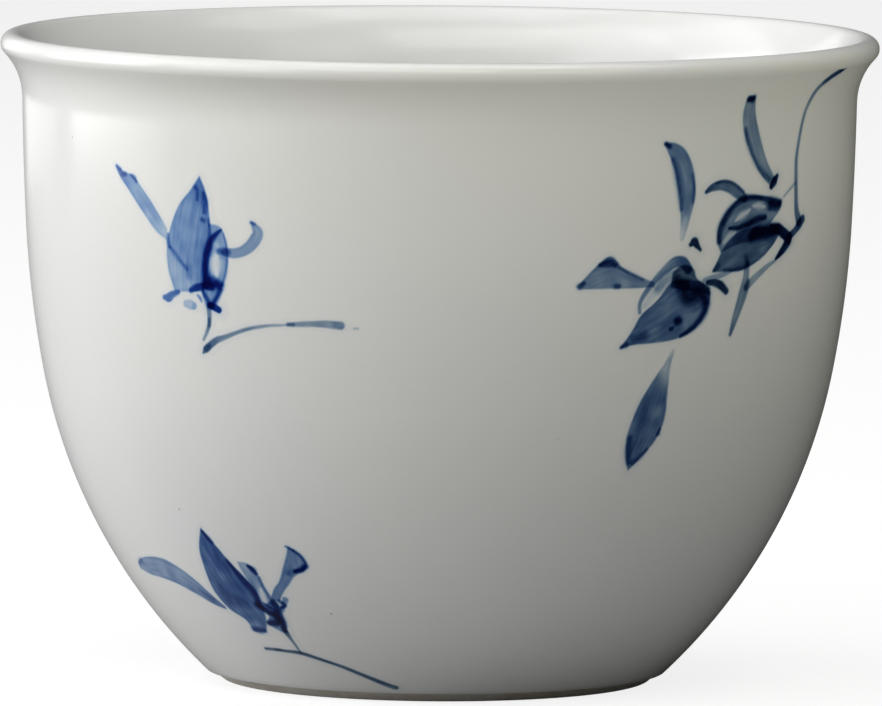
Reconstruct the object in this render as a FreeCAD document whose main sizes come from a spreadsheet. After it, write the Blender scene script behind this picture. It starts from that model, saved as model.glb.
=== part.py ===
import FreeCAD, Part
import Sketcher
import math
import os

# A handleless porcelain teacup: a turned clay body, a clear glaze over it, and cobalt
# brushwork of wild orchids in the glaze.  Millimetres, +Z up, the cup's axis on Z, its
# foot standing on Z = 0 and its front towards -Y.

PARTS_FOLDER = "parts"
SAME_POINT = 1e-6
INLAY_TOLERANCE = 0.01

# ---------------------------------------------------------------------------------------
# Driving dimensions.  A "facing" is the direction, in degrees above the horizontal, that
# the glazed surface looks at one station of the cup's section: -46 low on the outside of
# the belly, 0 at the widest point of the lip, 90 on its crest, 180 on the inside wall.
# An "arc" is the radius of the round stretch between two stations.
# ---------------------------------------------------------------------------------------
SIZES = {
    "glaze_depth": 0.30,
    "lip_centre_radius": 37.17,
    "lip_centre_height": 55.27,
    "lip_arc": 1.0,
    "underside_facing": -44.1,
    "neck_arc": 5.8,
    "neck_facing": -1.05,
    "wall_arc": 343.0,
    "shoulder_facing": -2.83,
    "shoulder_arc": 92.0,
    "belly_facing": -11.0,
    "belly_arc": 49.0,
    "foot_line_facing": -46.4,
    "flare_facing": 140.0,
    "flare_arc": 9.2,
    "mouth_facing": 179.0,
    "inner_wall_arc": 300.0,
    "inner_shoulder_facing": 177.2,
    "inner_shoulder_arc": 90.0,
    "inner_belly_facing": 168.5,
    "inner_belly_arc": 47.0,
    "heel_facing": 147.0,
    "heel_arc": 14.5,
    "floor_facing": 90.0,
    "foot_outer_radius": 18.5,
    "foot_inner_radius": 17.0,
    "recess_radius": 16.2,
    "recess_height": 1.8,
    "recess_glaze_radius": 15.6,
    "recess_glaze_edge": 0.2,
    "painted_edge_facing": -2.0,
    "brush_reach": 2.0,
    "brush_depth": 9.0,
}

# The round stretches from the lip down the outside, and from the lip down the inside:
# radius, facing where it ends, and +1 where it bulges out of the clay, -1 where hollow.
OUTSIDE = [
    ("neck_arc", "neck_facing", -1),
    ("wall_arc", "shoulder_facing", 1),
    ("shoulder_arc", "belly_facing", 1),
    ("belly_arc", "foot_line_facing", 1),
]
INSIDE = [
    ("flare_arc", "mouth_facing", 1),
    ("inner_wall_arc", "inner_shoulder_facing", -1),
    ("inner_shoulder_arc", "inner_belly_facing", -1),
    ("inner_belly_arc", "heel_facing", -1),
    ("heel_arc", "floor_facing", -1),
]

document = FreeCAD.newDocument("teacup")
sheet = document.addObject("Spreadsheet::Sheet", "Sizes")
for row, (alias, value) in enumerate(SIZES.items(), start=1):
    sheet.set("A%d" % row, alias.replace("_", " "))
    sheet.set("B%d" % row, str(value))
    sheet.setAlias("B%d" % row, alias)
document.recompute()


def size(alias):
    """The number in a named cell of the sheet."""
    return float(sheet.get(alias))


def cell(alias):
    """The same cell as an expression."""
    return "Sizes." + alias


def towards(facing):
    """Unit vector in the section's plane for a facing in degrees."""
    angle = math.radians(facing)
    return FreeCAD.Vector(math.cos(angle), math.sin(angle), 0)


# ---------------------------------------------------------------------------------------
# The section of the cup, as sketches
# ---------------------------------------------------------------------------------------
def new_section(body, name):
    """An empty sketch on the body's own XZ plane."""
    sketch = body.newObject("Sketcher::SketchObject", name)
    planes = [item for item in body.Origin.OriginFeatures if item.Role == "XZ_Plane"]
    sketch.AttachmentSupport = [(planes[0], "")]
    sketch.MapMode = "FlatFace"
    return sketch


def bind(sketch, constraint, expression):
    """Add a constraint whose value follows the sheet."""
    index = sketch.addConstraint(constraint)
    sketch.setExpression("Constraints[%d]" % index, expression)


class Skin:
    """A line through the section that runs at one depth under the glazed surface.

    Its arcs are concentric with those of the glazed surface, and it grows from the lip
    in both directions.
    """

    def __init__(self, sketch, buried, lip_from, lip_to):
        self.sketch = sketch
        self.depth = size("glaze_depth") if buried else 0.0
        self.under = " - " + cell("glaze_depth") if buried else ""
        self.over = " + " + cell("glaze_depth") if buried else ""
        self.centre = FreeCAD.Vector(size("lip_centre_radius"), size("lip_centre_height"), 0)
        radius = size("lip_arc") - self.depth
        self.lip = self.add_arc(self.centre, radius, size(lip_from), size(lip_to), 1)
        lip_radius = cell("lip_arc") + self.under
        bind(sketch, Sketcher.Constraint("Radius", self.lip, radius), lip_radius)
        bind(sketch, Sketcher.Constraint("DistanceX", -1, 1, self.lip, 3, self.centre.x),
             cell("lip_centre_radius"))
        bind(sketch, Sketcher.Constraint("DistanceY", -1, 1, self.lip, 3, self.centre.y),
             cell("lip_centre_height"))
        self.pin_lip_end(1, lip_from, radius, lip_radius)
        self.pin_lip_end(2, lip_to, radius, lip_radius)

    def add_arc(self, centre, radius, facing_a, facing_b, bulge):
        """A round stretch between two facings, returned as its index in the sketch."""
        turn = 0.0 if bulge > 0 else 180.0
        first = math.radians(min(facing_a, facing_b) + turn)
        last = math.radians(max(facing_a, facing_b) + turn)
        circle = Part.Circle(centre, FreeCAD.Vector(0, 0, 1), radius)
        return self.sketch.addGeometry(Part.ArcOfCircle(circle, first, last), False)

    def pin_lip_end(self, end, facing, radius, lip_radius):
        """Hold one end of the lip's arc at its facing."""
        height = self.centre.y + radius * towards(size(facing)).y
        rise = "(%s) * sin(%s)" % (lip_radius, cell(facing))
        bind(self.sketch, Sketcher.Constraint("DistanceY", -1, 1, self.lip, end, height),
             cell("lip_centre_height") + " + " + rise)

    def grow(self, stretches, start_facing, lip_end):
        """Add the stretches one after another, each tangent to the one before it, and
        return the loose end of the last."""
        facing = size(start_facing)
        facing_cell = cell(start_facing)
        point = self.centre + towards(facing) * (size("lip_arc") - self.depth)
        last_arc = self.lip
        last_end = lip_end
        for arc_name, facing_name, bulge in stretches:
            radius = size(arc_name) - bulge * self.depth
            next_facing = size(facing_name)
            centre = point - towards(facing) * radius * bulge
            arc = self.add_arc(centre, radius, facing, next_facing, bulge)
            near, far = (1, 2) if next_facing > facing else (2, 1)
            self.sketch.addConstraint(
                Sketcher.Constraint("Tangent", last_arc, last_end, arc, near))
            bind(self.sketch, Sketcher.Constraint("Radius", arc, radius),
                 cell(arc_name) + (self.under if bulge > 0 else self.over))
            sweep = math.radians(abs(next_facing - facing))
            bind(self.sketch, Sketcher.Constraint("Angle", arc, sweep),
                 "abs(%s - %s) * 1 deg" % (cell(facing_name), facing_cell))
            point = centre + towards(next_facing) * radius * bulge
            facing = next_facing
            facing_cell = cell(facing_name)
            last_arc = arc
            last_end = far
        return last_arc, last_end


def join(sketch, from_end, to_end):
    """A straight side between two loose ends."""
    side = sketch.addGeometry(
        Part.LineSegment(sketch.getPoint(*from_end), sketch.getPoint(*to_end)), False)
    sketch.addConstraint(Sketcher.Constraint("Coincident", side, 1, *from_end))
    sketch.addConstraint(Sketcher.Constraint("Coincident", side, 2, *to_end))


def run_to_axis(sketch, end):
    """A level side from a loose end to the cup's axis, and its own loose end."""
    start = sketch.getPoint(*end)
    side = sketch.addGeometry(
        Part.LineSegment(start, FreeCAD.Vector(0, start.y, 0)), False)
    sketch.addConstraint(Sketcher.Constraint("Coincident", side, 1, *end))
    sketch.addConstraint(Sketcher.Constraint("Horizontal", side))
    sketch.addConstraint(Sketcher.Constraint("PointOnObject", side, 2, -2))
    return side, 2


def add_run(sketch, start_end, corners):
    """Straight sides from a loose end through corners given as (radius, height) cells,
    None for zero, and the loose end of the last."""
    previous = start_end
    for radius_name, height_name in corners:
        radius = size(radius_name) if radius_name else 0.0
        height = size(height_name) if height_name else 0.0
        start = sketch.getPoint(*previous)
        side = sketch.addGeometry(
            Part.LineSegment(start, FreeCAD.Vector(radius, height, 0)), False)
        sketch.addConstraint(Sketcher.Constraint("Coincident", side, 1, *previous))
        if radius_name:
            bind(sketch, Sketcher.Constraint("DistanceX", -1, 1, side, 2, radius),
                 cell(radius_name))
        else:
            sketch.addConstraint(Sketcher.Constraint("PointOnObject", side, 2, -2))
        if height_name:
            bind(sketch, Sketcher.Constraint("DistanceY", -1, 1, side, 2, height),
                 cell(height_name))
        else:
            sketch.addConstraint(Sketcher.Constraint("PointOnObject", side, 2, -1))
        previous = (side, 2)
    return previous


def turned(name, draw):
    """A body turned about the cup's axis from the section that draw() adds."""
    body = document.addObject("PartDesign::Body", name)
    body.Label = name
    section = new_section(body, name + "_section")
    draw(section)
    document.recompute()
    turn = body.newObject("PartDesign::Revolution", name + "_turning")
    turn.Profile = section
    turn.ReferenceAxis = (section, ["V_Axis"])
    turn.Angle = 360.0
    document.recompute()
    return body


def draw_clay(sketch):
    """Fired clay: foot ring, walls under the glaze, and the recess inside the foot."""
    skin = Skin(sketch, True, "underside_facing", "flare_facing")
    foot_line = skin.grow(OUTSIDE, "underside_facing", 1)
    floor_middle = run_to_axis(sketch, skin.grow(INSIDE, "flare_facing", 2))
    corners = [("foot_outer_radius", None), ("foot_inner_radius", None),
               ("recess_radius", "recess_height"), (None, "recess_height")]
    recess_centre = add_run(sketch, foot_line, corners)
    join(sketch, recess_centre, floor_middle)


def draw_glaze(sketch):
    """One skin of glaze from the foot line over the lip to the middle of the floor."""
    outer = Skin(sketch, False, "underside_facing", "flare_facing")
    outer_foot = outer.grow(OUTSIDE, "underside_facing", 1)
    outer_floor = run_to_axis(sketch, outer.grow(INSIDE, "flare_facing", 2))
    inner = Skin(sketch, True, "underside_facing", "flare_facing")
    inner_foot = inner.grow(OUTSIDE, "underside_facing", 1)
    inner_floor = run_to_axis(sketch, inner.grow(INSIDE, "flare_facing", 2))
    join(sketch, outer_foot, inner_foot)
    join(sketch, outer_floor, inner_floor)


def draw_painted_side(sketch):
    """The outer side of the glaze only, from the foot line to the underside of the lip."""
    outer = Skin(sketch, False, "underside_facing", "painted_edge_facing")
    outer_foot = outer.grow(OUTSIDE, "underside_facing", 1)
    inner = Skin(sketch, True, "underside_facing", "painted_edge_facing")
    inner_foot = inner.grow(OUTSIDE, "underside_facing", 1)
    join(sketch, outer_foot, inner_foot)
    join(sketch, (outer.lip, 2), (inner.lip, 2))


def draw_recess_glaze(sketch):
    """The separate island of glaze on the roof of the foot recess."""
    radius = size("recess_glaze_radius")
    roof = size("recess_height")
    under = roof - size("glaze_depth")
    edge = size("recess_glaze_edge")
    corners = [(0, roof), (radius, roof), (radius - edge, under), (0, under)]
    sides = []
    for start, end in zip(corners, corners[1:] + corners[:1]):
        side = Part.LineSegment(FreeCAD.Vector(*start, 0), FreeCAD.Vector(*end, 0))
        sides.append(sketch.addGeometry(side, False))
    for side, following in zip(sides, sides[1:] + sides[:1]):
        sketch.addConstraint(Sketcher.Constraint("Coincident", side, 2, following, 1))
    top, slope, bottom, _middle = sides
    sketch.addConstraint(Sketcher.Constraint("PointOnObject", top, 1, -2))
    sketch.addConstraint(Sketcher.Constraint("PointOnObject", bottom, 2, -2))
    sketch.addConstraint(Sketcher.Constraint("Horizontal", top))
    sketch.addConstraint(Sketcher.Constraint("Horizontal", bottom))
    bind(sketch, Sketcher.Constraint("DistanceY", -1, 1, top, 1, roof),
         cell("recess_height"))
    bind(sketch, Sketcher.Constraint("DistanceY", -1, 1, bottom, 2, under),
         cell("recess_height") + " - " + cell("glaze_depth"))
    bind(sketch, Sketcher.Constraint("DistanceX", -1, 1, top, 2, radius),
         cell("recess_glaze_radius"))
    bind(sketch, Sketcher.Constraint("DistanceX", -1, 1, slope, 2, radius - edge),
         cell("recess_glaze_radius") + " - " + cell("recess_glaze_edge"))


# ---------------------------------------------------------------------------------------
# The brushwork.  Each motif is drawn flat, in millimetres, on a plane that touches the
# glaze: first number along the plane towards the viewer's right, second one up it.
#   petal(one_edge, other_edge)   a filled petal between two edges that share both ends
#   line(points)                  a brush line; the third number is half its width
#   window(points)                a line of bare glaze left open inside the petals
# ---------------------------------------------------------------------------------------
def petal(one_edge, other_edge):
    return "petal", one_edge, other_edge


def line(points):
    return "line", points, None


def window(points):
    return "window", points, None


PAIRED_BLOSSOM = [
    petal([(-4.4, 0.4), (-5.6, 1.1), (-7.2, 2.7), (-8.7, 4.3), (-9.9, 5.5), (-10.4, 6.3)],
          [(-4.4, 1.3), (-5.2, 2.4), (-6.4, 3.8), (-7.4, 4.8), (-8.3, 5.6), (-10.4, 6.3)]),
    petal([(-3.7, -4.0), (-4.3, -2.1), (-4.4, -0.3), (-3.9, 1.6), (-3.0, 3.4), (-1.8, 4.7),
           (-0.8, 6.0)],
          [(-0.6, -3.8), (0.0, -1.5), (0.4, 0.5), (0.2, 2.2), (0.0, 4.0), (-0.8, 6.0)]),
    petal([(-0.2, -4.9), (-0.6, -3.0), (-0.6, -1.5), (-0.1, 0.5), (0.1, 2.0)],
          [(0.3, -4.9), (0.9, -4.1), (1.5, -2.8), (1.9, -1.2), (1.8, 0.5), (1.3, 1.7),
           (0.1, 2.0)]),
    window([(0.75, -2.5, 0.15), (0.75, -1.7, 0.5), (0.75, -1.1, 0.5), (0.8, -0.7, 0.2)]),
    line([(1.7, -0.35, 0.35), (2.6, -0.4, 0.4), (3.4, -0.2, 0.42), (4.1, 0.25, 0.47),
          (4.65, 0.9, 0.5), (4.85, 1.5, 0.45), (4.35, 2.25, 0.12)]),
    line([(-1.95, -3.8, 0.2), (-1.4, -3.55, 0.3), (-0.7, -3.4, 0.3), (0.2, -3.4, 0.3)]),
    line([(0.0, -5.0, 0.25), (0.45, -5.15, 0.28), (0.85, -5.35, 0.25)]),
    line([(-3.3, -4.05, 0.15), (-4.0, -4.3, 0.28), (-4.45, -4.6, 0.36), (-4.9, -4.6, 0.2)]),
    line([(-2.5, -5.0, 0.3), (-2.1, -5.05, 0.4), (-1.75, -5.15, 0.3)]),
]
PAIRED_STEM = [
    line([(-0.15, -5.0, 0.22), (-0.15, -6.0, 0.2), (-0.25, -6.7, 0.18), (-0.9, -8.0, 0.1)]),
    line([(-1.05, -9.15, 0.08), (-0.7, -8.8, 0.28), (0.5, -7.95, 0.24), (1.5, -7.6, 0.18),
          (3.3, -6.95, 0.13), (5.2, -6.55, 0.1), (7.1, -6.4, 0.06)]),
    line([(7.3, -6.35, 0.14), (8.4, -6.3, 0.2), (9.5, -6.25, 0.23), (10.6, -6.25, 0.29),
          (11.8, -6.35, 0.33)]),
]
SPREAD_BLOSSOM = [
    petal([(-3.4, -3.8), (-4.9, -3.35), (-6.5, -2.65), (-8.5, -2.1), (-10.5, -2.05),
           (-14.0, -2.3)],
          [(-3.4, -3.5), (-4.5, -2.4), (-5.8, -1.1), (-7.3, -0.15), (-9.2, 0.35),
           (-11.2, 0.0), (-13.0, -0.8), (-14.0, -1.7)]),
    petal([(-1.3, -6.0), (-1.6, -4.7), (-3.0, -3.6), (-3.9, -1.8), (-4.0, 0.5),
           (-3.8, 2.6), (-2.9, 4.8)],
          [(0.0, -6.0), (0.6, -4.6), (0.9, -3.0), (0.9, -1.3), (0.1, 0.2), (-0.8, 1.6),
           (-2.0, 3.5), (-2.9, 4.8)]),
    petal([(1.0, -3.2), (0.9, -2.0), (0.7, -0.5), (0.2, 0.9), (0.1, 1.7)],
          [(2.2, -3.2), (2.15, -2.0), (1.95, -0.8), (1.8, 0.3), (1.2, 1.5), (0.1, 1.7)]),
    window([(1.4, -2.75, 0.15), (1.4, -2.2, 0.3), (1.45, -1.6, 0.35), (1.5, -1.1, 0.2)]),
    petal([(1.9, -5.9), (0.7, -4.9), (1.2, -4.0), (0.5, -3.1)],
          [(2.3, -5.9), (2.6, -4.3), (2.7, -2.8), (2.2, -2.3)]),
    petal([(2.0, -2.3), (2.9, -1.0), (3.7, -0.2), (4.5, 1.1), (5.3, 2.5), (5.7, 3.4)],
          [(3.0, -2.2), (3.6, -1.4), (4.5, -0.5), (5.4, 0.4), (6.4, 0.85), (6.9, 1.5),
           (6.6, 2.5), (5.7, 3.4)]),
    line([(2.8, -3.3, 0.2), (3.2, -2.7, 0.25), (3.6, -2.1, 0.25)]),
]
SPREAD_STEM = [
    line([(2.15, -5.8, 0.28), (2.3, -6.6, 0.16), (2.45, -7.4, 0.11), (2.55, -8.2, 0.1)]),
    line([(-1.0, -8.0, 0.12), (0.0, -8.0, 0.18), (1.2, -8.1, 0.18), (2.6, -8.3, 0.22),
          (4.3, -9.1, 0.2), (5.8, -10.0, 0.2), (7.1, -11.1, 0.22), (8.8, -12.8, 0.25)]),
]
NEAR_BLOSSOM = [
    petal([(-6.9, -1.1), (-9.0, -1.15), (-11.5, -1.15), (-13.7, -1.2)],
          [(-6.9, -0.75), (-8.6, -0.15), (-10.0, 0.6), (-11.1, 1.55), (-12.1, 0.9),
           (-13.2, -0.25), (-13.8, -1.0)]),
    petal([(-4.5, 2.8), (-4.55, 5.0), (-4.9, 7.2), (-5.5, 9.3), (-6.4, 11.1)],
          [(-4.2, 2.8), (-3.6, 4.6), (-3.1, 6.8), (-3.4, 8.8), (-4.2, 10.4), (-5.3, 11.1),
           (-6.4, 11.1)]),
    line([(-3.4, 2.4, 0.15), (-3.0, 2.6, 0.38), (-2.65, 2.25, 0.25), (-2.3, 1.9, 0.1)]),
    line([(-8.1, -3.3, 0.12), (-8.15, -2.5, 0.15), (-7.7, -1.6, 0.2), (-6.8, -0.5, 0.25),
          (-5.7, 0.5, 0.35), (-4.9, 0.95, 0.45), (-4.1, 0.9, 0.45), (-3.5, 0.3, 0.4)]),
    petal([(-0.9, -1.8), (-2.0, -0.9), (-4.0, -0.6), (-5.2, -0.8), (-6.4, -2.2),
           (-7.9, -3.5), (-8.6, -4.8), (-9.6, -6.35)],
          [(-0.9, -1.8), (-1.1, -3.2), (-2.2, -4.7), (-4.0, -5.6), (-6.2, -5.9),
           (-8.4, -6.05), (-9.6, -6.35)]),
    petal([(-5.2, -0.9), (-5.0, 0.1), (-4.0, 0.65), (-3.0, 0.3), (-2.5, -0.6), (-1.0, -1.4)],
          [(-5.2, -1.2), (-3.0, -1.6), (-1.0, -2.0)]),
    line([(-1.3, -0.95, 0.2), (-0.5, -1.0, 0.28), (0.2, -1.25, 0.33), (0.9, -1.8, 0.26)]),
    line([(-1.7, -0.75, 0.2), (-0.7, -0.55, 0.25), (0.3, -0.35, 0.16)]),
    petal([(-4.5, -6.6), (-5.2, -7.9), (-6.3, -9.6), (-7.2, -11.5), (-7.75, -13.9),
           (-7.5, -15.8), (-7.0, -17.1)],
          [(-4.3, -6.6), (-4.55, -8.3), (-4.5, -10.5), (-4.4, -12.6), (-4.9, -14.4),
           (-5.9, -15.8), (-7.0, -17.1)]),
]
FAR_BLOSSOM = [
    petal([(6.1, 6.9), (4.6, 8.1), (3.2, 10.0), (2.3, 12.0), (2.15, 13.4), (2.3, 14.9)],
          [(6.6, 7.5), (5.4, 9.1), (4.4, 11.2), (3.7, 13.2), (3.3, 14.9)]),
    line([(6.15, 6.9, 0.25), (6.5, 7.3, 0.36), (6.9, 7.75, 0.15)]),
    line([(-1.9, 6.85, 0.12), (-1.2, 7.2, 0.25), (-0.2, 7.35, 0.38), (0.8, 7.15, 0.46),
          (1.7, 6.65, 0.46), (2.6, 6.1, 0.35)]),
    petal([(0.0, 1.6), (-0.5, 2.8), (-0.3, 3.9), (0.6, 5.1), (1.8, 6.0), (3.2, 6.3),
           (5.2, 6.1), (7.7, 5.6)],
          [(0.0, 1.6), (2.0, 2.2), (3.6, 2.4), (5.4, 3.2), (6.6, 4.1), (7.5, 4.9),
           (7.7, 5.6)]),
    window([(1.6, 4.2, 0.1), (2.3, 4.6, 0.28), (3.0, 4.9, 0.22), (3.4, 5.1, 0.1)]),
    window([(3.8, 5.35, 0.15), (4.5, 5.35, 0.3), (5.3, 5.2, 0.12)]),
    window([(0.3, 2.4, 0.12), (0.9, 2.85, 0.26), (1.6, 3.2, 0.12)]),
    line([(6.3, 3.3, 0.35), (7.3, 3.2, 0.4), (8.2, 2.7, 0.45), (9.0, 2.25, 0.45)]),
    line([(7.2, 0.6, 0.12), (7.7, 0.95, 0.25), (8.3, 1.4, 0.35), (8.9, 2.0, 0.45)]),
    petal([(-0.85, -0.05), (-0.3, 0.9), (0.4, 2.0), (1.6, 3.0), (3.4, 3.5), (5.4, 3.4),
           (7.4, 3.0)],
          [(-0.85, -0.05), (0.8, -0.1), (2.4, -0.1), (3.8, 0.25), (5.3, 0.9), (6.6, 1.8),
           (7.4, 2.6)]),
    line([(7.0, 0.4, 0.12), (6.2, 0.1, 0.2), (5.2, -0.4, 0.27), (4.2, -1.0, 0.32),
          (3.4, -1.6, 0.3)]),
    line([(3.3, 0.4, 0.3), (3.25, -0.6, 0.35), (3.2, -1.4, 0.5), (2.9, -2.5, 0.5),
          (2.5, -3.6, 0.4), (2.15, -4.6, 0.3), (1.85, -5.6, 0.15)]),
]
RIM_STEM = [
    line([(9.0, 2.3, 0.3), (10.0, 2.85, 0.3), (10.6, 3.35, 0.42), (11.1, 3.7, 0.35)]),
    line([(10.5, 3.6, 0.45), (10.1, 4.4, 0.32), (9.9, 5.5, 0.25), (9.75, 8.0, 0.22),
          (9.8, 9.5, 0.2), (10.6, 12.2, 0.18), (11.9, 14.4, 0.22), (12.8, 15.2, 0.25),
          (14.0, 15.85, 0.3), (15.4, 16.35, 0.3), (16.2, 16.6, 0.15)]),
    line([(8.0, 5.9, 0.08), (8.8, 6.4, 0.1), (9.7, 6.95, 0.12)]),
]

# Where each group of strokes sits: azimuth from the front towards +X, radius and height
# of the point where its plane touches the glaze, and how far the wall leans back there.
PLACES = {
    "upper_left": (-33.0, 35.89, 40.0, 3.0),
    "lower_left": (-36.0, 28.17, 11.0, 29.0),
    "right": (42.0, 35.77, 38.0, 3.0),
    "back_upper": (165.0, 35.77, 38.0, 3.0),
    "back_lower": (-122.0, 28.17, 11.0, 29.0),
}
# Node, place, strokes, and the nodes laid down before it, which it doesn't cover.
BRUSHWORK = [
    ("upper_left_blossom", "upper_left", PAIRED_BLOSSOM, []),
    ("upper_left_stem", "upper_left", PAIRED_STEM, ["upper_left_blossom"]),
    ("lower_left_blossom", "lower_left", SPREAD_BLOSSOM, []),
    ("lower_left_stem", "lower_left", SPREAD_STEM, ["lower_left_blossom"]),
    ("right_near_blossom", "right", NEAR_BLOSSOM, []),
    ("right_far_blossom", "right", FAR_BLOSSOM, ["right_near_blossom"]),
    ("right_rim_stem", "right", RIM_STEM, ["right_far_blossom"]),
    ("back_upper_blossom", "back_upper", PAIRED_BLOSSOM, []),
    ("back_upper_stem", "back_upper", PAIRED_STEM, ["back_upper_blossom"]),
    ("back_lower_blossom", "back_lower", SPREAD_BLOSSOM, []),
    ("back_lower_stem", "back_lower", SPREAD_STEM, ["back_lower_blossom"]),
]


class Plane:
    """The flat drawing plane of one motif, held just off the cup."""

    def __init__(self, azimuth, radius, height, lean):
        around = math.radians(azimuth)
        back = math.radians(lean)
        level = FreeCAD.Vector(math.sin(around), -math.cos(around), 0)
        upright = FreeCAD.Vector(0, 0, 1)
        self.right = FreeCAD.Vector(math.cos(around), math.sin(around), 0)
        self.out = level * math.cos(back) - upright * math.sin(back)
        self.up = level * math.sin(back) + upright * math.cos(back)
        self.origin = level * radius + upright * height

    def at(self, x, y):
        """A point of the drawing, lifted off the glaze."""
        lift = size("brush_reach")
        return self.origin + self.right * x + self.up * y + self.out * lift


def spline(points):
    """A smooth edge through the points."""
    curve = Part.BSplineCurve()
    curve.interpolate(points)
    return curve.toShape()


def edges_of_line(points):
    """The two edges of a brush line and the tips of its round ends."""
    one_edge = []
    other_edge = []
    for index, (x, y, half) in enumerate(points):
        before = points[max(index - 1, 0)]
        after = points[min(index + 1, len(points) - 1)]
        run = math.hypot(after[0] - before[0], after[1] - before[1])
        along = ((after[0] - before[0]) / run, (after[1] - before[1]) / run)
        one_edge.append((x - along[1] * half, y + along[0] * half))
        other_edge.append((x + along[1] * half, y - along[0] * half))
        if index == 0:
            start_tip = (x - along[0] * half, y - along[1] * half)
    end_tip = (x + along[0] * half, y + along[1] * half)
    return one_edge, other_edge, start_tip, end_tip


def closing_edge(plane, start, tip, end):
    """The end of a stroke: round through its tip, straight without one, or no edge."""
    first = plane.at(*start)
    last = plane.at(*end)
    if first.distanceToPoint(last) < SAME_POINT:
        return []
    if tip is None:
        return [Part.makeLine(first, last)]
    return [Part.Arc(first, plane.at(*tip), last).toShape()]


def stroke_prism(plane, kind, first, second):
    """One stroke as a prism that passes through the glaze."""
    start_tip = end_tip = None
    if kind == "petal":
        one_edge, other_edge = first, second
    else:
        one_edge, other_edge, start_tip, end_tip = edges_of_line(first)
    outline = [spline([plane.at(*point) for point in one_edge]),
               spline([plane.at(*point) for point in other_edge])]
    outline += closing_edge(plane, one_edge[0], start_tip, other_edge[0])
    outline += closing_edge(plane, one_edge[-1], end_tip, other_edge[-1])
    face = Part.Face(Part.Wire(Part.__sortEdges__(outline)))
    return face.extrude(plane.out * -(size("brush_reach") + size("brush_depth")))


def brush_prisms(place, strokes):
    """All strokes of one node as one shape, with its windows left open."""
    plane = Plane(*PLACES[place])
    filled = []
    windows = []
    for kind, first, second in strokes:
        prism = stroke_prism(plane, kind, first, second)
        (windows if kind == "window" else filled).append(prism)
    shape = filled[0].multiFuse(filled[1:]) if len(filled) > 1 else filled[0]
    return shape.cut(windows) if windows else shape


# ---------------------------------------------------------------------------------------
# The parts
# ---------------------------------------------------------------------------------------
clay = turned("porcelain_body", draw_clay)
whole_glaze = turned("whole_glaze", draw_glaze)
painted_side = turned("painted_side", draw_painted_side)
recess_glaze = turned("foot_recess_glaze", draw_recess_glaze)

brushwork = {}
for node, place, strokes, already_laid in BRUSHWORK:
    prisms = document.addObject("Part::Feature", node + "_prisms")
    prisms.Shape = brush_prisms(place, strokes)
    inlay = document.addObject("Part::Common", node + "_inlay")
    inlay.Base = prisms
    inlay.Tool = painted_side
    for laid in already_laid:
        trimmed = document.addObject("Part::Cut", node + "_beside_" + laid)
        trimmed.Base = inlay
        trimmed.Tool = brushwork[laid]
        inlay = trimmed
    inlay.Label = node
    brushwork[node] = inlay

all_brushwork = document.addObject("Part::MultiFuse", "all_brushwork")
all_brushwork.Shapes = list(brushwork.values())
glaze = document.addObject("Part::Cut", "glaze_around_brushwork")
glaze.Base = whole_glaze
glaze.Tool = all_brushwork
glaze.Label = "glaze_coat"
document.recompute()

# ---------------------------------------------------------------------------------------
# Test every object, then write one file per sub-part
# ---------------------------------------------------------------------------------------
nodes = [clay, glaze, recess_glaze] + list(brushwork.values())
for item in document.Objects:
    if "Invalid" in item.State or "Error" in item.State:
        raise RuntimeError("%s failed: %s" % (item.Name, item.State))
for item in nodes:
    if item.Shape.isNull() or not item.Shape.isValid() or not item.Shape.Solids:
        raise RuntimeError("%s has no valid solid" % item.Label)

missing = whole_glaze.Shape.Volume - glaze.Shape.Volume
inlaid = sum(item.Shape.Volume for item in brushwork.values())
if abs(missing - inlaid) > INLAY_TOLERANCE * inlaid:
    raise RuntimeError("the inlays and their hollows differ: %.2f, %.2f" % (missing, inlaid))

os.makedirs(PARTS_FOLDER, exist_ok=True)
for item in nodes:
    item.Shape.exportStep(os.path.join(PARTS_FOLDER, item.Label + ".step"))
    print("%-22s %2d solids %9.2f mm3" % (item.Label, len(item.Shape.Solids), item.Shape.Volume))
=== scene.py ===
import math
import bpy
import numpy as np
from mathutils import Matrix, Vector


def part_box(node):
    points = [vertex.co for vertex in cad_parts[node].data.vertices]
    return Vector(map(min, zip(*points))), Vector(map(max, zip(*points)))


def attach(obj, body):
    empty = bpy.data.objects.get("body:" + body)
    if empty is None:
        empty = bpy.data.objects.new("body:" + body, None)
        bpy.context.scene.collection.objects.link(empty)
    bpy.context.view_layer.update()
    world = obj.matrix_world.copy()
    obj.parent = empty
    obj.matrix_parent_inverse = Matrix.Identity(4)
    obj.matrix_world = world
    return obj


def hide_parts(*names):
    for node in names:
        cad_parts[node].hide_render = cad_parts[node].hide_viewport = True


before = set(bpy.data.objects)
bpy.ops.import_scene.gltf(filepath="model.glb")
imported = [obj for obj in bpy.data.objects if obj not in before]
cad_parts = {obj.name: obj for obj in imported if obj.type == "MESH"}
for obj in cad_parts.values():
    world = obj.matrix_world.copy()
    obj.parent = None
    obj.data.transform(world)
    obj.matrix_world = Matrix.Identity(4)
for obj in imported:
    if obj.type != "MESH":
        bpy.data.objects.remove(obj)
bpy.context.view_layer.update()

# A handleless porcelain teacup.  Drawing units below are millimetres, turned into the
# frame's metres when a mesh is made.
MM = 0.001

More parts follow.
